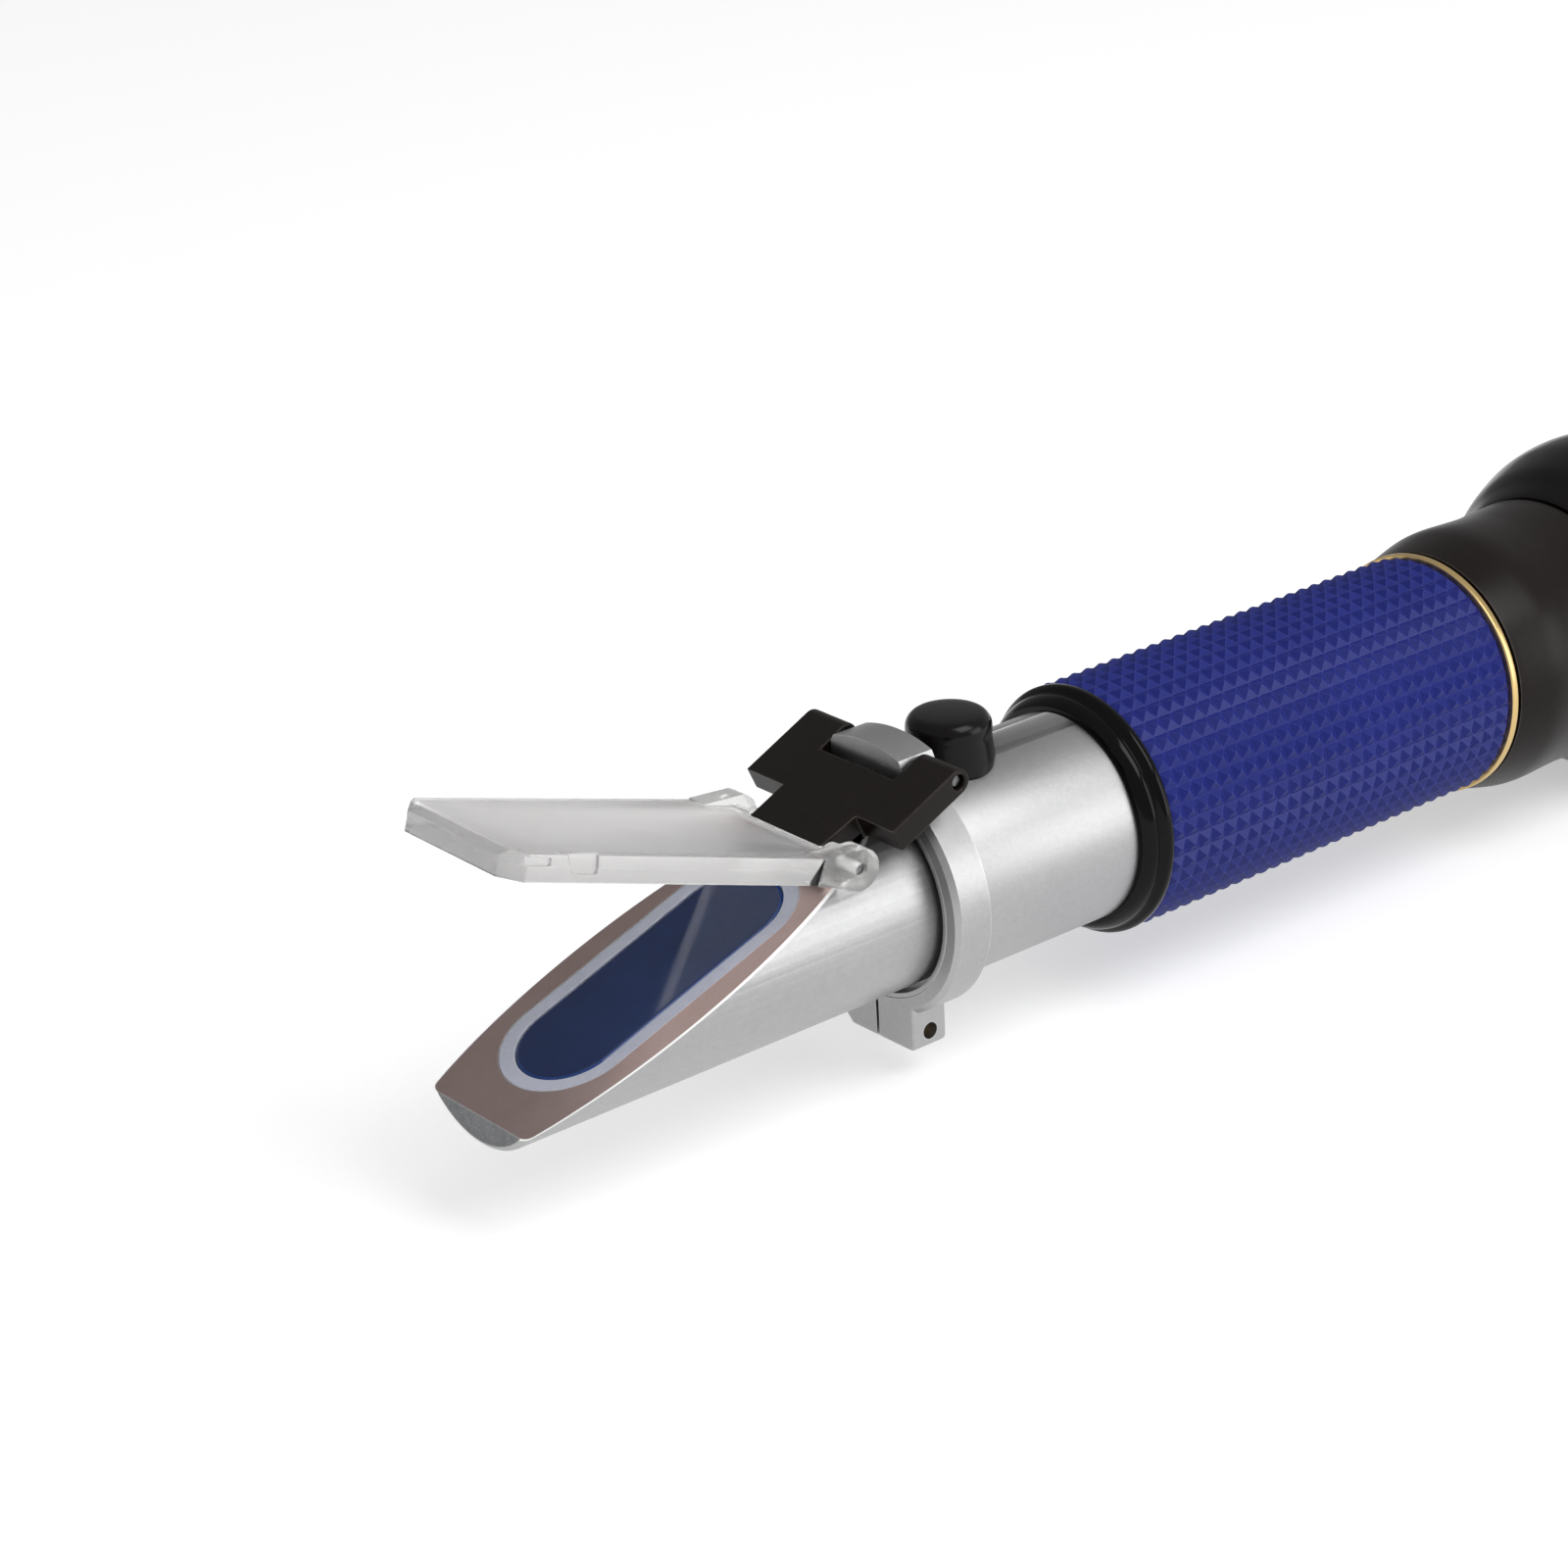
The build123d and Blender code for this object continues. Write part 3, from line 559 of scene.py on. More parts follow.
class Effects:
    """Shader node groups that several finishes share, each built once."""

    @staticmethod
    def _group(name: str, inputs: dict[str, float], outputs: dict[str, str],
               wire: Callable[[Tree, bpy.types.Node, bpy.types.Node], None]
               ) -> bpy.types.NodeTree:
        """Return a node group, made the first time.

        Args:
            name: Name of the group.
            inputs: Its number inputs and their usual values.
            outputs: Its outputs and their socket types.
            wire: Adds its nodes between its input node and its output node.

        Returns:
            The group.
        """
        found = bpy.data.node_groups.get(name)
        if found:
            return found
        group = bpy.data.node_groups.new(name, "ShaderNodeTree")
        for key, value in inputs.items():
            slot = group.interface.new_socket(key, in_out="INPUT", socket_type="NodeSocketFloat")
            slot.default_value = value
        for key, kind in outputs.items():
            group.interface.new_socket(key, in_out="OUTPUT", socket_type=kind)
        nodes = Tree(group)
        wire(nodes, nodes.add("NodeGroupInput"), nodes.add("NodeGroupOutput"))
        return group

    @classmethod
    def grain(cls) -> bpy.types.NodeTree:
        """Fine bumps and a matching mask, from two sizes of noise."""
        def wire(nodes: Tree, start: bpy.types.Node, end: bpy.types.Node) -> None:
            """Mix both noises, then bump and mask by them.

            Args:
                nodes: The group's nodes.
                start: Its input node.
                end: Its output node.
            """
            fine = nodes.noise(Scale=start.outputs["Scale"], Detail=3.0, Roughness=0.6)
            wider = nodes.sum("MULTIPLY", start.outputs["Scale"], 0.31)
            coarse = nodes.noise(Scale=wider, Detail=2.0)
            both = nodes.mix(start.outputs["Second"], fine, coarse)
            bump = nodes.add("ShaderNodeBump", Strength=1.0, Distance=start.outputs["Depth"],
                             Height=both)
            nodes.put(end.inputs["Mask"], nodes.spread(both, 0.3, 0.7))
            nodes.put(end.inputs["Normal"], bump.outputs[0])
        return cls._group("surface_grain", {"Scale": 3000.0, "Depth": 0.00002, "Second": 0.4},
                          {"Mask": "NodeSocketFloat", "Normal": "NodeSocketVector"}, wire)

    @classmethod
    def edges(cls) -> bpy.types.NodeTree:
        """Mask of the edges, broken up a little, for worn edges and painted edge highlights."""
        def wire(nodes: Tree, start: bpy.types.Node, end: bpy.types.Node) -> None:
            """Find edges where a rounded normal leaves the plain one, and break them up.

            Args:
                nodes: The group's nodes.
                start: Its input node.
                end: Its output node.
            """
            bevel = nodes.add("ShaderNodeBevel", {"samples": 4}, Radius=start.outputs["Radius"])
            plain = nodes.add("ShaderNodeNewGeometry").outputs["Normal"]
            meet = nodes.add("ShaderNodeVectorMath", {"operation": "DOT_PRODUCT"},
                             n0=bevel.outputs[0], n1=plain).outputs["Value"]
            edge = nodes.sum("MULTIPLY", nodes.sum("SUBTRACT", 1.0, meet),
                             start.outputs["Gain"], clamp=True)
            broken = nodes.spread(nodes.noise(Scale=900.0, Detail=4.0), 0.35, 0.6)
            keep = nodes.mix(start.outputs["Breakup"], 1.0, broken)
            nodes.put(end.inputs["Mask"], nodes.sum("MULTIPLY", edge, keep, clamp=True))
        return cls._group("edge_wear_and_painted_highlight", {"Radius": 0.0004, "Gain": 3.0, "Breakup": 0.4},
                          {"Mask": "NodeSocketFloat"}, wire)

    @classmethod
    def clouds(cls) -> bpy.types.NodeTree:
        """Wide soft patches, as of handling and uneven finish."""
        def wire(nodes: Tree, start: bpy.types.Node, end: bpy.types.Node) -> None:
            """Spread the middle of a wide noise by the contrast.

            Args:
                nodes: The group's nodes.
                start: Its input node.
                end: Its output node.
            """
            wide = nodes.noise(Scale=start.outputs["Scale"], Detail=5.0, Roughness=0.55)
            half = nodes.sum("MULTIPLY", start.outputs["Contrast"], 0.25)
            mask = nodes.spread(wide, nodes.sum("SUBTRACT", 0.5, half),
                                nodes.sum("ADD", 0.5, half))
            nodes.put(end.inputs["Mask"], mask)
        return cls._group("soft_patches", {"Scale": 60.0, "Contrast": 0.5},
                          {"Mask": "NodeSocketFloat"}, wire)


@dataclass(frozen=True)
class Finish:
    """A surface finish with grain, soft patches, and worn edges that also carry a painted edge
    highlight.

    Lengths are in metres and scales per metre.
    """

    name: str
    colour: Triple
    patch_colour: Triple
    edge_colour: Triple = (1.0, 1.0, 1.0)
    roughness: float = 0.4
    patch_roughness: float = 0.5
    metallic: float = 0.0
    specular: float = 0.5
    grain_scale: float = 3000.0
    grain_depth: float = 0.00001
    speckle: float = 0.0
    patch_scale: float = 60.0
    patch_contrast: float = 1.0
    edge_radius: float = 0.0003
    edge_gain: float = 3.0
    edge_share: float = 0.5

    def material(self) -> bpy.types.Material:
        """Return this finish's material, built the first time."""
        found = bpy.data.materials.get(self.name)
        if found:
            return found
        made = bpy.data.materials.new(self.name)
        made.diffuse_color = (*self.colour, 1.0)
        tree = Tree.blank(made)
        shader = tree.add("ShaderNodeBsdfPrincipled", Metallic=self.metallic,
                          Specular_IOR_Level=self.specular)
        tree.add("ShaderNodeOutputMaterial", Surface=shader.outputs[0])
        self.dress(tree, shader)
        return made

    def patches(self, tree: Tree) -> bpy.types.NodeSocket:
        """Mask of the soft patches."""
        return tree.add("ShaderNodeGroup", {"node_tree": Effects.clouds()},
                        Scale=self.patch_scale, Contrast=self.patch_contrast).outputs["Mask"]

    def grain(self, tree: Tree) -> bpy.types.Node:
        """The node that gives the bumps and the mask of flecks."""
        return tree.add("ShaderNodeGroup", {"node_tree": Effects.grain()},
                        Scale=self.grain_scale, Depth=self.grain_depth)

    def dress(self, tree: Tree, shader: bpy.types.Node) -> None:
        """Join colour, roughness and bumps to the shader.

        Args:
            tree: The material's nodes.
            shader: Its Principled BSDF.
        """
        patch, grain = self.patches(tree), self.grain(tree)
        edge = tree.add("ShaderNodeGroup", {"node_tree": Effects.edges()},
                        Radius=self.edge_radius, Gain=self.edge_gain).outputs["Mask"]
        body = tree.blend(patch, self.colour, self.patch_colour)
        fleck = tree.sum("MULTIPLY", grain.outputs["Mask"], self.speckle)
        body = tree.blend(fleck, body, self.edge_colour)
        # Edges take the edge colour, as wear and as a painted edge highlight.
        worn_and_lit_edges = tree.blend(tree.sum("MULTIPLY", edge, self.edge_share), body, self.edge_colour)
        tree.put(shader.inputs["Base Color"], worn_and_lit_edges)
        tree.put(shader.inputs["Roughness"],
                 tree.spread(patch, 0.0, 1.0, self.roughness, self.patch_roughness))
        tree.put(shader.inputs["Normal"], grain.outputs["Normal"])


@dataclass(frozen=True)
class ClearPlastic(Finish):
    """Clear plastic. Where a mesh's frost value is 1, it has its patch colour and roughness."""

    index: float = 1.49
    clarity: float = 1.0

    def dress(self, tree: Tree, shader: bpy.types.Node) -> None:
        """Join the frosted mask, a slight tint and the bumps to the shader.

        Args:
            tree: The material's nodes.
            shader: Its Principled BSDF.
        """
        shader.inputs["Transmission Weight"].default_value = self.clarity
        shader.inputs["IOR"].default_value = self.index
        frost = tree.add("ShaderNodeAttribute", {"attribute_name": "frost"}).outputs["Fac"]
        tree.put(shader.inputs["Base Color"],
                 tree.blend(frost, self.colour, self.patch_colour))
        tree.put(shader.inputs["Roughness"],
                 tree.spread(frost, 0.0, 1.0, self.roughness, self.patch_roughness))
        tree.put(shader.inputs["Normal"], self.grain(tree).outputs["Normal"])


@dataclass(frozen=True)
class Glass(Finish):
    """Plain optical glass, a little uneven."""

    index: float = 1.52

    def dress(self, tree: Tree, shader: bpy.types.Node) -> None:
        """Set the glass and join its unevenness to the shader.

        Args:
            tree: The material's nodes.
            shader: Its Principled BSDF.
        """
        shader.inputs["Transmission Weight"].default_value = 1.0
        shader.inputs["IOR"].default_value = self.index
        tree.put(shader.inputs["Base Color"], self.colour)
        tree.put(shader.inputs["Roughness"], tree.spread(
            self.patches(tree), 0.0, 1.0, self.roughness, self.patch_roughness))


BLASTED = Finish("blasted_aluminium", (0.36, 0.36, 0.365), (0.4, 0.4, 0.405), (0.8, 0.8, 0.8),
                 roughness=0.37, patch_roughness=0.43, metallic=1.0, grain_scale=4200.0,
                 grain_depth=0.00002, speckle=0.14, edge_share=0.6)
# Slanted face: ground aluminium, its brownish colour a painted reflection of a dark brown
# surround.
GROUND_FACE_PAINTED_REFLECTION = Finish("ground_aluminium_painted_reflection", (0.39, 0.28, 0.26), (0.44, 0.34, 0.32), (0.9, 0.88, 0.87),
                     roughness=0.28, patch_roughness=0.36, metallic=1.0, grain_scale=2500.0,
                     grain_depth=0.000006, speckle=0.05, edge_share=0.6)
# Nose end and lug front: milled aluminium, its colour darkened far below bare metal as painted
# shade.
MILLED_FACE_PAINTED_SHADE = Finish("milled_aluminium_painted_shade", (0.08, 0.083, 0.087), (0.11, 0.113, 0.118),
                     (0.75, 0.75, 0.76), roughness=0.42, metallic=1.0, grain_scale=3800.0,
                     grain_depth=0.00004, speckle=0.2, edge_share=0.7)
# A pale band under the edge of the slanted face: a painted highlight.
PAINTED_EDGE_HIGHLIGHT = Finish("painted_edge_highlight", (0.88, 0.87, 0.86), (0.94, 0.93, 0.92),
                     (0.98, 0.98, 0.98), roughness=0.44, metallic=0.8, grain_scale=2500.0,
                     edge_share=0.2)
NAVY_GLASS = Finish("navy_prism", (0.004, 0.014, 0.06), (0.007, 0.022, 0.085), (0.02, 0.06, 0.2),
                    roughness=0.06, patch_roughness=0.1, specular=0.3, grain_depth=0.0,
                    patch_scale=80.0, edge_share=0.2)
NAVY_RIM = Finish("navy_prism_rim", (0.003, 0.03, 0.16), (0.004, 0.04, 0.2), (0.05, 0.15, 0.4),
                  roughness=0.1, patch_roughness=0.15, grain_depth=0.0, edge_share=0.2)
CEMENT = Finish("prism_cement_band", (0.34, 0.36, 0.44), (0.42, 0.44, 0.52), (0.62, 0.64, 0.72),
                grain_scale=2600.0, grain_depth=0.00004, speckle=0.3)
# Its pale edge colour, strong on the edges, is a painted edge highlight.
BLACK_PLASTIC = Finish("satin_black_plastic", (0.005, 0.003, 0.0025), (0.007, 0.004, 0.0033),
                       (0.16, 0.14, 0.12), roughness=0.3, patch_roughness=0.38, specular=0.17,
                       grain_scale=2600.0, grain_depth=0.000015, speckle=0.02, edge_gain=4.0,
                       edge_share=0.7)
GLOSS_BLACK = Finish("polished_black", (0.001, 0.001, 0.001), (0.0015, 0.0014, 0.0013),
                     (0.01, 0.01, 0.01), roughness=0.1, patch_roughness=0.15, specular=0.15,
                     grain_scale=900.0, grain_depth=0.000002, edge_share=0.1)
BLACK_RUBBER = Finish("black_rubber_skin", (0.003, 0.0024, 0.0022), (0.005, 0.004, 0.0036),
                      (0.02, 0.02, 0.02), roughness=0.16, patch_roughness=0.24, specular=0.18,
                      grain_scale=2200.0, edge_share=0.2)
# Its violet edge colour on the pyramids' edges is a painted edge highlight.
BLUE_RUBBER = Finish("blue_knurled_rubber", (0.007, 0.014, 0.15), (0.010, 0.018, 0.19),
                     (0.12, 0.13, 0.5), roughness=0.34, patch_roughness=0.44, specular=0.22,
                     edge_radius=0.00025, edge_gain=2.2, edge_share=0.7)
BRASS = Finish("turned_brass", (0.7, 0.5, 0.22), (0.62, 0.45, 0.2), (0.9, 0.75, 0.45),
               roughness=0.25, patch_roughness=0.35, metallic=1.0, grain_depth=0.000004)
# Pins: steel darkened to near black as painted shade of their ends in the holes, with pale patches
# at random.
STEEL_PAINTED_SHADE = Finish("ground_steel_painted_shade", (0.02, 0.02, 0.02), (0.3, 0.3, 0.3), (0.5, 0.5, 0.5),
               roughness=0.22, patch_roughness=0.32, metallic=1.0, grain_scale=1500.0,
               grain_depth=0.00008, patch_scale=1700.0, patch_contrast=1.6, edge_share=0.2)
BLACK_METAL = Finish("matt_black_metal", (0.02, 0.02, 0.02), (0.03, 0.03, 0.03),
                     (0.2, 0.2, 0.2), roughness=0.5, patch_roughness=0.6)
CLEAR_PLATE = ClearPlastic("clear_cover_plate", (0.95, 0.94, 0.94), (0.92, 0.905, 0.9),
                           roughness=0.13, patch_roughness=0.42, grain_scale=300.0,
                           grain_depth=0.000003)
CLEAR_CHEEKS = ClearPlastic("clear_hinge_cheeks", (0.93, 0.93, 0.92), (0.9, 0.9, 0.9),
                            roughness=0.24, grain_depth=0.0, index=1.25, clarity=0.84)
CLEAR_GLASS = Glass("optical_glass", (0.97, 0.98, 0.98), (0.97, 0.98, 0.98), roughness=0.01,
                    patch_roughness=0.03)

SLOT_FINISHES = {
    "aluminium": BLASTED, "blue_glass": NAVY_GLASS, "cement": CEMENT,
    "black_rubber": BLACK_RUBBER, "brass": BRASS, "steel": STEEL_PAINTED_SHADE,
    "black_plastic": BLACK_PLASTIC, "clear_plastic": CLEAR_PLATE, "gloss_black": GLOSS_BLACK,
    "blue_rubber": BLUE_RUBBER, "black_metal": BLACK_METAL, "clear_glass": CLEAR_GLASS,
}


def coat(piece: bpy.types.Object, finishes: Sequence[Finish],
         choose: Callable[[bpy.types.MeshPolygon], int]) -> None:
    """Give each face of a piece one of several finishes.

    Args:
        piece: The piece.
        finishes: Its finishes.
        choose: Gives the place of a face's finish among them.
    """
    piece.data.materials.clear()
    for finish in finishes:
        piece.data.materials.append(finish.material())
    for face in piece.data.polygons:
        face.material_index = choose(face)


def finish_piece(piece: bpy.types.Object, body: Body, slot: str, *nodes: str) -> None:
    """Dress a piece, put it on its body and hide the CAD nodes that it stands for.

    Args:
        piece: The piece. It takes its slot's finish, unless it has finishes already.
        body: Body that it moves with.
        slot: Record's material slot.
        *nodes: CAD nodes that it stands for.
    """
    if not piece.data.materials:
        piece.data.materials.append(SLOT_FINISHES[slot].material())
    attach(piece, body.value)
    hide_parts(*nodes)
    LOG.info("%s on %s", piece.name, body.value)


@dataclass
class PrismHead:
    """The slanted prism head, its prism and the cement band round it."""

    nose: float = -84.0
    rear: float = -20.0
    slope: float = 19.45
    front_height: float = -7.5
    nose_round: float = 0.8
    rim_round: float = 0.44
    highlight_band_width: float = 0.3
    clearance: float = 30.0
    pocket_depth: float = 1.0
    front_centre: float = 13.3
    span: float = 23.0
    prism_half_width: float = 6.35
    prism_depth: float = 2.5
    prism_round: float = 0.55
    band_width: float = 1.85
    band_play: float = 0.02
    band_drop: float = 0.03
    band_round: float = 0.12

    @property
    def seat(self) -> Seat:
        """Frame on the slanted face, from its front edge up the slope."""
        return Seat(self.nose, self.front_height, self.slope, forward=1.0)

    def stadium(self, half_width: float) -> list[Point]:
        """Stadium outline on the slanted face."""
        return (arc((self.front_centre + self.span, 0), half_width, -90, 90, 40)
                + arc((self.front_centre, 0), half_width, 90, 270, 40))

    def build(self) -> None:
        """Build and dress the head, the band and the prism."""
        self.head()
        self.band()
        self.prism()

    def head(self) -> None:
        """Build and dress the head, with a painted highlight band under the edge of its slanted
        face.
        """
        nose = arc((self.nose + self.nose_round, HEAD_RADIUS - self.nose_round),
                   self.nose_round, 180, 90, 8)
        head = Mesher.lathe("prism_head_shell",
                            hollow([*nose, (self.rear, HEAD_RADIUS)], NEAR_AXIS), 256)
        wide = self.clearance
        above = Mesher.slab("above", oblong(-wide, 4 * wide, 0, 2 * wide), self.seat, -wide, wide)
        pocket = self.stadium(self.prism_half_width + self.band_width)
        Mesher.merge(head, "DIFFERENCE", above,
                     Mesher.stack("pocket", self.seat, (-self.pocket_depth, pocket),
                                  (self.pocket_depth, pocket)))
        Mesher.ease(head, self.rim_round, 4, 28.0)
        upward = self.seat.way(0, 1)
        # A narrow band is cut under the slant's edge to carry the painted highlight.
        with editing(head.data) as net:
            bmesh.ops.bisect_plane(net, geom=[*net.verts, *net.edges, *net.faces],
                                   plane_co=self.seat.point(0, -self.highlight_band_width, 0),
                                   plane_no=upward)

        def choose(face: bpy.types.MeshPolygon) -> int:
            """Choose ground with a painted reflection on the slant, milled with painted shade on
            the nose, and a painted highlight at the slant's edge.

            Args:
                face: A face of the head.

            Returns:
                Place of its finish in the list below.
            """
            if looks(face, upward, 0.99):
                return 1
            if looks(face, FRONT):
                return 2
            return 3 if self.seat.reach(face.center, upward) > -self.highlight_band_width else 0

        # The slant's brownish colour is a painted reflection, the nose's dark colour painted
        # shade, and the band under the slant's edge a painted highlight.
        coat(head, [BLASTED, GROUND_FACE_PAINTED_REFLECTION, MILLED_FACE_PAINTED_SHADE, PAINTED_EDGE_HIGHLIGHT], choose)
        finish_piece(head, Body.TUBE, "aluminium", "prism_head")

    def band(self) -> None:
        """Build and dress the cement band in the pocket, round the prism."""
        outline = self.stadium(self.prism_half_width + self.band_width - 2 * self.band_play)
        band = Mesher.stack("prism_band", self.seat,
                            (self.band_play - self.pocket_depth, outline),
                            (-self.band_drop, outline))
        inside = self.stadium(self.prism_half_width + self.band_play)
        past = 2 * self.pocket_depth
        Mesher.merge(band, "DIFFERENCE",
                     Mesher.stack("hole", self.seat, (-past, inside), (past, inside)))
        Mesher.ease(band, self.band_round, 2, 40.0)
        finish_piece(band, Body.TUBE, "cement", "prism_cement")

    def prism(self) -> None:
        """Build and dress the prism, flush with the slanted face."""
        outline = self.stadium(self.prism_half_width)
        prism = Mesher.stack("prism_glass", self.seat, (-self.prism_depth, outline), (0, outline))
        Mesher.ease(prism, self.prism_round, 4, 40.0)
        upward = self.seat.way(0, 1)
        coat(prism, [NAVY_GLASS, NAVY_RIM], lambda face: int(not looks(face, upward)))
        finish_piece(prism, Body.TUBE, "blue_glass", "measuring_prism")


@dataclass
class Tube:
    """The tube, the clamp ring on its mouth with lug and ear, and the clamp's screw and pin."""

    front: float = -29.4
    rear: float = 70.0
    seal_step: float = 0.6
    seal_length: float = 1.9
    split_half: float = 0.25
    split_length: float = 8.5
    cutter_foot: float = 10.0
    bush_radius: float = 2.5
    ring_radius: float = 14.5
    ring_width: float = 4.8
    ring_corner: float = 0.6
    ring_round: float = 0.4
    gap_half: float = 0.22
    lug_radius: float = 18.2
    lug_half: float = 6.0
    lug_drop: float = 0.7
    lug_inset: float = 0.55
    ear_drop: float = 18.0
    ear_half: float = 6.2
    ear_near_corner: float = 0.6
    ear_far_corner: float = 1.6
    ear_round: float = 0.5
    screw_height: float = -15.9
    screw_hole: float = 1.0
    screw_tip: float = -3.2
    head_hole: float = 1.6
    head_seat: float = 4.7
    head_top: float = 6.2
    screw_past: float = 8.0
    screw_play: float = 0.03
    screw_round: float = 0.1
    slot_half: float = 0.25
    slot_floor: float = 5.5
    pin_radius: float = 0.79
    pin_half: float = 11.9
    pin_round: float = 0.25

    @property
    def ring_rear(self) -> float:
        """Station of the ring's rear face."""
        return self.front + self.ring_width

    @property
    def screw_seat(self) -> Seat:
        """Frame on the axis of the clamp screw."""
        return Seat((self.front + self.ring_rear) / 2, self.screw_height)

    def build(self) -> None:
        """Build and dress the tube, the ring and what is fixed in it."""
        self.tube()
        self.ring()
        self.screw()
        pin = Mesher.slab("link_pin_rod", disc(self.pin_radius), Seat(*LINK_PIN), -self.pin_half,
                          self.pin_half)
        Mesher.ease(pin, self.pin_round, 3, 40.0)
        finish_piece(pin, Body.TUBE, "steel", "link_pin")

    def tube(self) -> None:
        """Build and dress the tube, with its split and the bush's hole."""
        step, inner = HEAD_RADIUS + self.seal_step, self.front + self.seal_length
        outline = [(self.front, step), (self.front, TUBE_RADIUS), (self.rear, TUBE_RADIUS),
                   (self.rear, HEAD_RADIUS), (inner, HEAD_RADIUS), (inner, step)]
        tube = Mesher.lathe("tube_shell", eased(outline, [0.1, 0.15, 0.1, 0.1, 0, 0], 3), 192)
        slit = oblong(-self.split_half, self.split_half, -self.cutter_foot, -THROUGH)
        split = Mesher.section("split", slit, self.front - 1, self.front + self.split_length)
        bush = Mesher.post("bush_hole", oblong(NEAR_AXIS, self.bush_radius, self.cutter_foot,
                                               THROUGH), 48)
        Mesher.merge(tube, "DIFFERENCE", split, bush)
        finish_piece(tube, Body.TUBE, "aluminium", "main_tube")

    def lug_outline(self) -> list[Point]:
        """Front view of the hinge lug: straight sides, cut corners and a round top."""
        shoulder = math.sqrt(self.lug_radius ** 2 - self.lug_half ** 2)
        top = math.degrees(math.atan2(shoulder, self.lug_half - self.lug_inset))
        side = shoulder - self.lug_drop
        return [(-self.lug_half, 0), (self.lug_half, 0), (self.lug_half, side),
                *arc((0, 0), self.lug_radius, top, 180 - top, 24), (-self.lug_half, side)]

    def ear_outline(self) -> list[Point]:
        """Front view of the clamp's ear, its near and far corners cut."""
        half, drop = self.ear_half, self.ear_drop
        near, far = self.ear_near_corner, self.ear_far_corner
        return [(-half, 0), (-half, near - drop), (near - half, -drop), (half - far, -drop),
                (half, far - drop), (half, 0)]

    def ring(self) -> None:
        """Build and dress the split ring with its lug and ear."""
        front, rear = self.front, self.ring_rear
        collar = [(front, self.ring_radius - self.ring_corner),
                  (front + self.ring_corner, self.ring_radius), (rear, self.ring_radius)]
        ring = Mesher.lathe("clamp_band", hollow(collar, TUBE_RADIUS), 256)
        foot = Mesher.section("ear", self.ear_outline(), front, rear)
        Mesher.ease(foot, self.ear_round, 4, 32.0)
        Mesher.merge(ring, "UNION", Mesher.section("lug", self.lug_outline(), front, rear), foot)
        bore = hollow([(front - 1, TUBE_RADIUS), (rear + 1, TUBE_RADIUS)], NEAR_AXIS)
        gap = oblong(-self.gap_half, self.gap_half, -self.cutter_foot, -THROUGH)
        Mesher.merge(ring, "DIFFERENCE", Mesher.lathe("bore", bore, 256),
                     Mesher.section("gap", gap, front - 1, rear + 1),
                     Mesher.slab("hole", disc(self.screw_hole), self.screw_seat,
                                 -self.screw_past, self.screw_past),
                     Mesher.slab("head", disc(self.head_hole), self.screw_seat, self.head_seat,
                                 self.screw_past))
        Mesher.ease(ring, self.ring_round, 4, 32.0)
        above = (AXIS_HEIGHT + self.ring_radius) / 1000
        # The lug's front face takes the darkened milled finish: painted shade.
        coat(ring, [BLASTED, MILLED_FACE_PAINTED_SHADE],
             lambda face: int(looks(face, FRONT, 0.9) and face.center.z > above))
        finish_piece(ring, Body.TUBE, "aluminium", "clamp_ring")

    def screw(self) -> None:
        """Build and dress the clamp screw, its head on the far side."""
        seat, start = self.screw_seat, self.head_seat
        screw = Mesher.slab("clamp_screw_shank", disc(self.screw_hole - self.screw_play), seat,
                            self.screw_tip, start + 0.1)
        head = Mesher.slab("screw_cap", disc(self.head_hole - self.screw_play), seat,
                           start + 0.02, self.head_top)
        slot = oblong(-THROUGH, THROUGH, -self.slot_half, self.slot_half)
        Mesher.merge(screw, "UNION", head)
        Mesher.merge(screw, "DIFFERENCE",
                     Mesher.slab("slit", slot, seat, self.slot_floor, THROUGH))
        Mesher.ease(screw, self.screw_round, 2, 40.0)
        finish_piece(screw, Body.TUBE, "brass", "clamp_screw")


@dataclass
class LidLink:
    """The black link between the lug and the clear plate, and the plate's pin in its tongue."""

    half_thick: float = 1.5
    half_width: float = 12.5
    arm_length: float = 9.9
    notch: float = 3.7
    notch_corner: float = 0.7
    tongue_half: float = 6.2
    cutter_past: float = 4.0
    edge_round: float = 0.26
    hole_radius: float = 0.86
    pin_radius: float = 0.69
    pin_half: float = 11.3
    pin_round: float = 0.1

    def build(self) -> None:
        """Build and dress the link and the pin."""
        seat = Seat(*LINK_PIN, -LINK_SLOPE)
        t, half, notch, corner = self.half_thick, self.tongue_half, self.notch, self.notch_corner
        arms = [*arc((0, 0), t, 90, 270, 16), (self.arm_length, -t), (self.arm_length, t)]
        link = Mesher.slab("lid_link_body", arms, seat, -self.half_width, self.half_width)
        tongue = [(notch, t), (notch, -t), *arc((LINK_LENGTH, 0), t, -90, 90, 16)]
        Mesher.merge(link, "UNION", Mesher.slab("tongue", tongue, seat, -half, half))
        start, past = -2 * t, self.cutter_past
        cut = [(start, -past), (notch + corner + t, -past), (notch + corner, -t),
               (notch, corner - t), (notch, past), (start, past)]
        Mesher.merge(link, "DIFFERENCE", Mesher.slab("cut", cut, seat, -half, half),
                     Mesher.slab("hole", disc(self.hole_radius), seat, -THROUGH, THROUGH))
        Mesher.ease(link, self.edge_round, 3, 32.0)
        finish_piece(link, Body.LINK, "black_plastic", "cover_link")

        pin = Mesher.slab("plate_pin_rod", disc(self.pin_radius), Seat(*PLATE_PIN),
                          -self.pin_half, self.pin_half)
        Mesher.ease(pin, self.pin_round, 2, 40.0)
        finish_piece(pin, Body.LINK, "steel", "plate_pin")


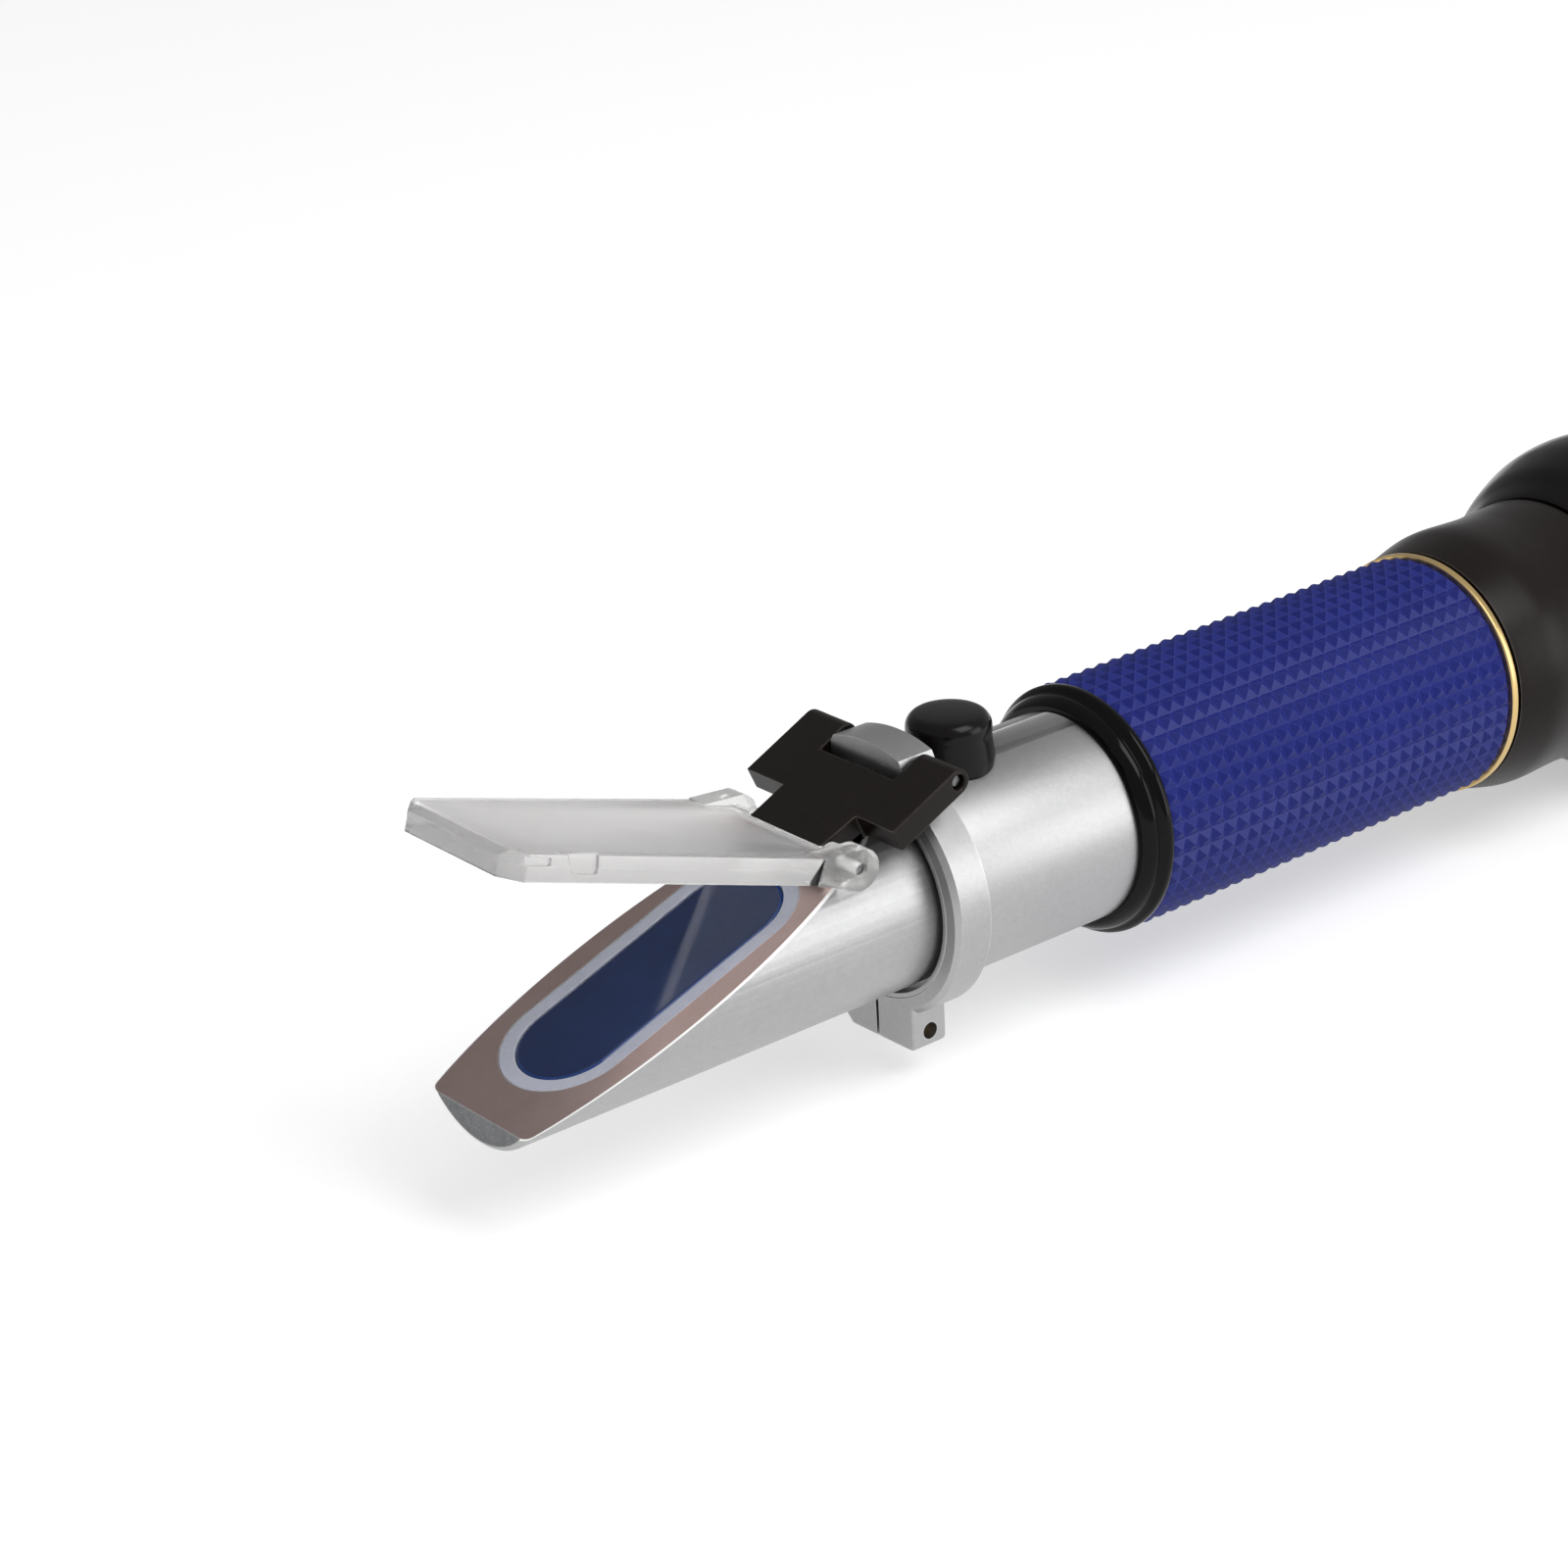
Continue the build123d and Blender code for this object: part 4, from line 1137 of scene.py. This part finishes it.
@dataclass
class CoverPlate:
    """The clear plate with its two hinge ears, drawn from the axis of its pin."""

    slope: float = 18.25
    low: float = -1.852
    high: float = 1.148
    length: float = 46.2
    front_half: float = 10.2
    rear_half: float = 11.6
    corner: float = 2.2
    parting_share: float = 0.45
    parting_inset: float = 0.08
    rod_radius: float = 1.6
    rod_half: float = 11.2
    cheek_radius: float = 2.4
    cheek_top: float = 5.5
    cheek_foot: float = 4.0
    cheek_proud: float = 0.05
    cheek_inside: float = 9.0
    cheek_outside: float = 11.72
    cheek_reach: float = 4.2
    notch_half: float = 6.4
    hole_radius: float = 0.76
    lip_back: float = 0.7
    lip_drop: float = 1.7
    panel_span: Point = (41.2, 45.0)
    panel_floor: float = -9.85
    scoop_foot: Point = (35.0, 38.2)
    scoop_top: Point = (35.4, 39.4)
    scoop_floor: float = -9.95
    edge_round: float = 0.2
    border: float = 0.9
    side_frost: float = 0.45

    @property
    def seat(self) -> Seat:
        """Frame on the pin's axis, along the plate."""
        return Seat(*PLATE_PIN, self.slope)

    @property
    def parting(self) -> float:
        """Height of the line where the two halves of the mould met."""
        return self.high - self.parting_share * (self.high - self.low)

    def plan(self, inset: float) -> list[Point]:
        """Draw the plate from above, its two front corners cut.

        Args:
            inset: How far the outline lies inside the sides and the front.

        Returns:
            (along, across) corners.
        """
        front, rear, end = self.front_half - inset, self.rear_half - inset, self.length - inset
        start, side = self.length - self.corner, self.front_half - self.corner
        return [(0, rear), (start, front), (end, side), (end, -side), (start, -front), (0, -rear)]

    def cheek(self) -> list[Point]:
        """Side view of a hinge ear: its round end and its hump over the plate."""
        top, foot, radius = self.cheek_top, self.cheek_foot, self.cheek_radius
        high, low = self.high + self.cheek_proud, self.low - self.cheek_proud
        over = math.atan2(high, top) + math.acos(radius / math.hypot(top, high))
        under = math.atan2(low, foot) - math.acos(radius / math.hypot(foot, low))
        return [*arc((0, 0), radius, math.degrees(over), math.degrees(under) + 360, 32),
                (foot, low), (top, low), (top, high)]

    def cuts(self) -> list[bpy.types.Object]:
        """Cutters of the link's notch, the pin's hole, the front lip, a panel and a scoop."""
        seat, low, high, end = self.seat, self.low, self.high, self.length
        lip = [(end - self.lip_back, high), (end + 1, high + 1), (end + 1, high - self.lip_drop)]
        panel = eased(oblong(*self.panel_span, self.parting + 0.1, high - 0.3), [0.3] * 4, 4)
        (foot, foot_end), (top, top_end) = self.scoop_foot, self.scoop_top
        scoop = eased([(foot, low + 0.9), (foot_end, low + 0.9), (top_end, high + 0.5),
                       (top, high + 0.5)], [0.4, 0.4, 0, 0], 4)
        return [Mesher.slab("notch", oblong(-4, 2, -5, 5), seat, -self.notch_half,
                            self.notch_half),
                Mesher.slab("hole", disc(self.hole_radius), seat, -THROUGH, THROUGH),
                Mesher.slab("lip", lip, seat, -THROUGH, THROUGH),
                Mesher.slab("panel", panel, seat, -THROUGH, self.panel_floor),
                Mesher.slab("scoop", scoop, seat, -THROUGH, self.scoop_floor)]

    def build(self) -> None:
        """Build the plate, frost its broad faces inside their border, and dress it."""
        seat, inner, outer = self.seat, self.cheek_inside, self.cheek_outside
        lower, upper = self.plan(self.parting_inset), self.plan(0)
        plate = Mesher.stack("cover_plate_body", seat, (self.low, lower), (self.parting, lower),
                             (self.parting + 0.04, upper), (self.high, upper))
        Mesher.merge(plate, "UNION",
                     Mesher.slab("rod", disc(self.rod_radius), seat, -self.rod_half,
                                 self.rod_half),
                     Mesher.slab("near_cheek", self.cheek(), seat, -outer, -inner),
                     Mesher.slab("far_cheek", self.cheek(), seat, inner, outer))
        Mesher.merge(plate, "DIFFERENCE", *self.cuts())
        Mesher.ease(plate, self.edge_round, 3, 32.0)
        along, upward = seat.way(1, 0), seat.way(0, 1)
        with editing(plate.data) as net:
            broad = sorted((f for f in net.faces if abs(f.normal.dot(upward)) > 0.98),
                           key=lambda f: f.calc_area())[-2:]
            bmesh.ops.inset_individual(net, faces=broad, thickness=self.border / 1000)
            frosted = {f.index for f in broad}
        coat(plate, [CLEAR_PLATE, CLEAR_CHEEKS],
             lambda face: int(seat.reach(face.center, along) < self.cheek_reach))
        mask = plate.data.attributes.new("frost", "FLOAT", "FACE")
        for face in plate.data.polygons:
            beyond = seat.reach(face.center, along) > 6
            side = beyond and abs(face.normal.dot(upward)) < 0.3
            mask.data[face.index].value = (1.0 if face.index in frosted
                                           else self.side_frost * side)
        finish_piece(plate, Body.PLATE, "clear_plastic", "daylight_plate")


@dataclass
class CalibrationCap:
    """The rubber cap over the calibration screw. Its bush and screw keep their CAD solids."""

    skirt: float = -0.05
    foot_radius: float = 5.0
    side: tuple[Point, ...] = ((5.15, 12.8), (4.98, 14.0), (4.86, 15.3), (4.9, 16.3),
                               (4.72, 17.2), (4.0, 17.95), (2.6, 18.2))
    bore: float = 2.55
    bore_top: float = 16.6

    def build(self) -> None:
        """Build and dress the cap."""
        outline = [(self.foot_radius, self.skirt), *flowing(self.side, 5),
                   (NEAR_AXIS, self.side[-1][1]), (NEAR_AXIS, self.bore_top),
                   (self.bore, self.bore_top), (self.bore, self.skirt)]
        cap = Mesher.post("calibration_cap_skin", outline, 96, TUBE_RADIUS)
        finish_piece(cap, Body.CAP, "black_rubber", "calibration_cap")


@dataclass
class Grip:
    """The stepped front ring, the knurled sleeve and the thin rear ring."""

    ring_side: tuple[Point, ...] = (
        (-0.45, 13.1), (-0.2, 13.5), (0.25, 13.88), (0.75, 14.12), (1.1, 14.16), (1.32, 14.12),
        (1.5, 14.3), (1.75, 14.68), (2.05, 14.92), (2.4, 14.98), (2.75, 14.92), (2.98, 14.75))
    front: float = 3.0
    rear: float = 59.5
    tip_radius: float = 15.0
    root_radius: float = 14.45
    tip_half: float = 0.1
    cells_round: int = 44
    cells_along: int = 27
    rear_radius: float = 15.2
    rear_width: float = 1.0

    def build(self) -> None:
        """Build and dress the grip's three pieces."""
        front = Mesher.lathe("grip_front_band", hollow(flowing(self.ring_side), TUBE_RADIUS),
                             192, Shading.ROUND)
        finish_piece(front, Body.TUBE, "gloss_black", "grip_front_ring")
        outside = [(self.rear, self.rear_radius), (self.rear + self.rear_width, self.rear_radius)]
        rear = Mesher.lathe("grip_rear_band",
                            eased(hollow(outside, TUBE_RADIUS), [0, 0.2, 0.2, 0], 3), 192)
        finish_piece(rear, Body.TUBE, "brass", "grip_rear_ring")
        self.sleeve()

    def sleeve(self) -> None:
        """Build and dress the sleeve of small blunt pyramids."""
        pitch = (self.rear - self.front) / self.cells_along
        turn = 2 * math.pi / self.cells_round
        root, tip, half = self.root_radius, self.tip_radius, self.tip_half
        points: list[Vector] = []
        faces: list[tuple[int, ...]] = []

        def corner(station: float, angle: float, radius: float) -> int:
            """Add a point at an angle round the tube axis, and return its number."""
            points.append(spot(station, radius * math.sin(angle), radius * math.cos(angle)))
            return len(points) - 1

        for row in range(self.cells_along):
            low, high = self.front + row * pitch, self.front + (row + 1) * pitch
            for cell in range(self.cells_round):
                start, end = cell * turn, (cell + 1) * turn
                middle, centre = (low + high) / 2, (start + end) / 2
                base = [corner(station, angle, root) for station, angle in
                        ((low, start), (low, end), (high, end), (high, start))]
                tops = [corner(middle + s * half, centre + a * half / tip, tip)
                        for s, a in ((-1, -1), (-1, 1), (1, 1), (1, -1))]
                faces.append(tuple(tops))
                for index in range(4):
                    after = (index + 1) % 4
                    faces.append((base[index], base[after], tops[after], tops[index]))
        for (first, outer), (last, inner) in (((self.front, root), (self.front, TUBE_RADIUS)),
                                              ((self.rear, root), (self.rear, TUBE_RADIUS)),
                                              ((self.front, TUBE_RADIUS),
                                               (self.rear, TUBE_RADIUS))):
            for cell in range(self.cells_round):
                start, end = cell * turn, (cell + 1) * turn
                faces.append((corner(first, start, outer), corner(first, end, outer),
                              corner(last, end, inner), corner(last, start, inner)))
        sleeve = Mesher.solid("grip_sleeve_skin", points, faces)
        finish_piece(sleeve, Body.TUBE, "blue_rubber", "grip_sleeve")


@dataclass
class Eyepiece:
    """The focusing ring and the eyecup."""

    ring_bore: float = 12.56
    ring_side: tuple[Point, ...] = (
        (60.9, 15.2), (62.0, 15.5), (64.2, 16.04), (66.2, 16.45), (68.1, 16.55), (70.5, 16.45),
        (74.2, 16.3), (77.0, 16.38), (79.8, 16.54), (81.4, 16.55), (81.85, 16.3))
    cup_bore: float = 11.2
    cup_outside: tuple[Point, ...] = (
        (82.25, 16.6), (82.7, 17.0), (84.2, 18.0), (85.5, 19.0), (86.7, 19.7), (89.1, 20.7),
        (91.2, 21.33), (94.2, 21.73), (97.5, 21.66), (100.2, 21.33), (100.9, 20.9))
    cup_inside: tuple[Point, ...] = ((100.9, 20.2), (100.4, 19.6), (96.0, 18.6), (91.0, 16.6),
                                     (88.5, 14.0), (87.55, 11.9))

    def build(self) -> None:
        """Build and dress the focusing ring and the eyecup."""
        ring = Mesher.lathe("focus_ring_body", hollow(flowing(self.ring_side), self.ring_bore),
                            192)
        finish_piece(ring, Body.FOCUS, "black_plastic", "focus_ring")
        bowl = [*flowing(self.cup_outside), *flowing(self.cup_inside)]
        cup = Mesher.lathe("eyecup_skin", hollow(bowl, self.cup_bore), 192)
        finish_piece(cup, Body.EYEPIECE, "black_rubber", "eyecup")


@dataclass
class Studio:
    """Floor, lamps, world and camera. Lamp and floor sizes are in metres, angles in degrees."""

    floor_half: float = 4.0
    floor_colour: Triple = (0.8, 0.8, 0.8)
    floor_glow: float = 0.45
    white: Triple = (1.0, 1.0, 1.0)
    lamp_size: float = 0.5
    lamp_target: Triple = (-0.03, 0, 0.02)
    side_lamp: tuple[Triple, float] = ((0.5, -0.72, 0.24), 2.2)
    top_lamp: tuple[Triple, float] = ((0.12, -0.5, 0.74), 3.6)
    sky_front: float = 0.52
    sky_back: float = 0.34
    sky_span: Point = (0.15, 0.75)
    lens: float = 95.894
    sensor: float = 36.0
    stand: Triple = (-297.199, -325.661, 194.943)
    heading: float = 51.80745
    drop: float = 23.27809
    roll: float = -3.13227

    def build(self) -> None:
        """Build the floor, the lamps, the world and the camera."""
        self.floor()
        self.lamps()
        self.world()
        self.camera()

    def floor(self) -> None:
        """Lay a pale floor that keeps the object's shadow."""
        mesh = bpy.data.meshes.new("floor")
        size = self.floor_half
        mesh.from_pydata([(x, y, 0) for x, y in oblong(-size, size, -size, size)], [],
                         [(0, 1, 2, 3)])
        floor = placed("floor", mesh)
        made = bpy.data.materials.new("pale_floor")
        tree = Tree.blank(made)
        matt = tree.add("ShaderNodeBsdfDiffuse", Color=self.floor_colour)
        path = tree.add("ShaderNodeLightPath").outputs
        seen = tree.sum("MAXIMUM", path["Is Camera Ray"],
                        tree.sum("MAXIMUM", path["Is Glossy Ray"], path["Is Transmission Ray"]))
        glow = tree.add("ShaderNodeEmission", Color=self.white,
                        Strength=tree.sum("MULTIPLY", seen, self.floor_glow))
        both = tree.add("ShaderNodeAddShader", n0=matt.outputs[0], n1=glow.outputs[0])
        tree.add("ShaderNodeOutputMaterial", Surface=both.outputs[0])
        mesh.materials.append(made)

    def lamps(self) -> None:
        """Hang the soft lamps."""
        for name, (place, power) in (("side_lamp", self.side_lamp), ("top_lamp", self.top_lamp)):
            data = bpy.data.lights.new(name, "AREA")
            data.energy = power
            data.size = self.lamp_size
            lamp = placed(name, data)
            lamp.location = place
            aim = Vector(self.lamp_target) - Vector(place)
            lamp.rotation_euler = aim.to_track_quat("-Z", "Y").to_euler()

    def world(self) -> None:
        """Set the light all round: white where the camera sees it, else dimmer at the back."""
        world = bpy.data.worlds.new("studio")
        bpy.context.scene.world = world
        tree = Tree.blank(world)
        path = tree.add("ShaderNodeLightPath").outputs
        seen = tree.sum("MAXIMUM", path["Is Camera Ray"], path["Is Transmission Ray"])
        way = tree.add("ShaderNodeTexCoord").outputs["Generated"]
        depth = tree.add("ShaderNodeSeparateXYZ", Vector=way).outputs["Y"]
        dome = tree.spread(depth, *self.sky_span, self.sky_front, self.sky_back)
        sky = tree.add("ShaderNodeBackground", Color=self.white,
                       Strength=tree.mix(seen, dome, 1.0))
        tree.add("ShaderNodeOutputWorld", Surface=sky.outputs[0])
        bpy.context.scene.view_settings.view_transform = "Standard"

    def camera(self) -> None:
        """Stand the camera where the photograph was taken from."""
        data = bpy.data.cameras.new("photo_camera")
        data.lens = self.lens
        data.sensor_width = self.sensor
        data.clip_start = 0.01
        data.clip_end = 50.0
        camera = placed("photo_camera", data)
        aim = Euler((math.radians(90 - self.drop), 0, math.radians(self.heading - 90)))
        camera.matrix_world = (Matrix.Translation(spot(*self.stand)) @ aim.to_matrix().to_4x4()
                               @ Matrix.Rotation(math.radians(self.roll), 4, "Z"))
        bpy.context.scene.camera = camera


def dress_nodes() -> None:
    """Give every CAD node that still shows its finish."""
    for entry in frame["record"]["subparts"]:
        node = frame["nodes"][entry["node"]]
        node.data.materials.clear()
        node.data.materials.append(SLOT_FINISHES[entry["material_slot"]].material())


def main() -> None:
    """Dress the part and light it."""
    logging.basicConfig(level=logging.INFO, format="%(name)s: %(message)s")
    dress_nodes()
    for assembly in (PrismHead(), Tube(), LidLink(), CoverPlate(), CalibrationCap(), Grip(),
                     Eyepiece()):
        LOG.info("building %s", type(assembly).__name__)
        assembly.build()
    Studio().build()
    bpy.context.view_layer.update()


if __name__ == "__main__":
    main()
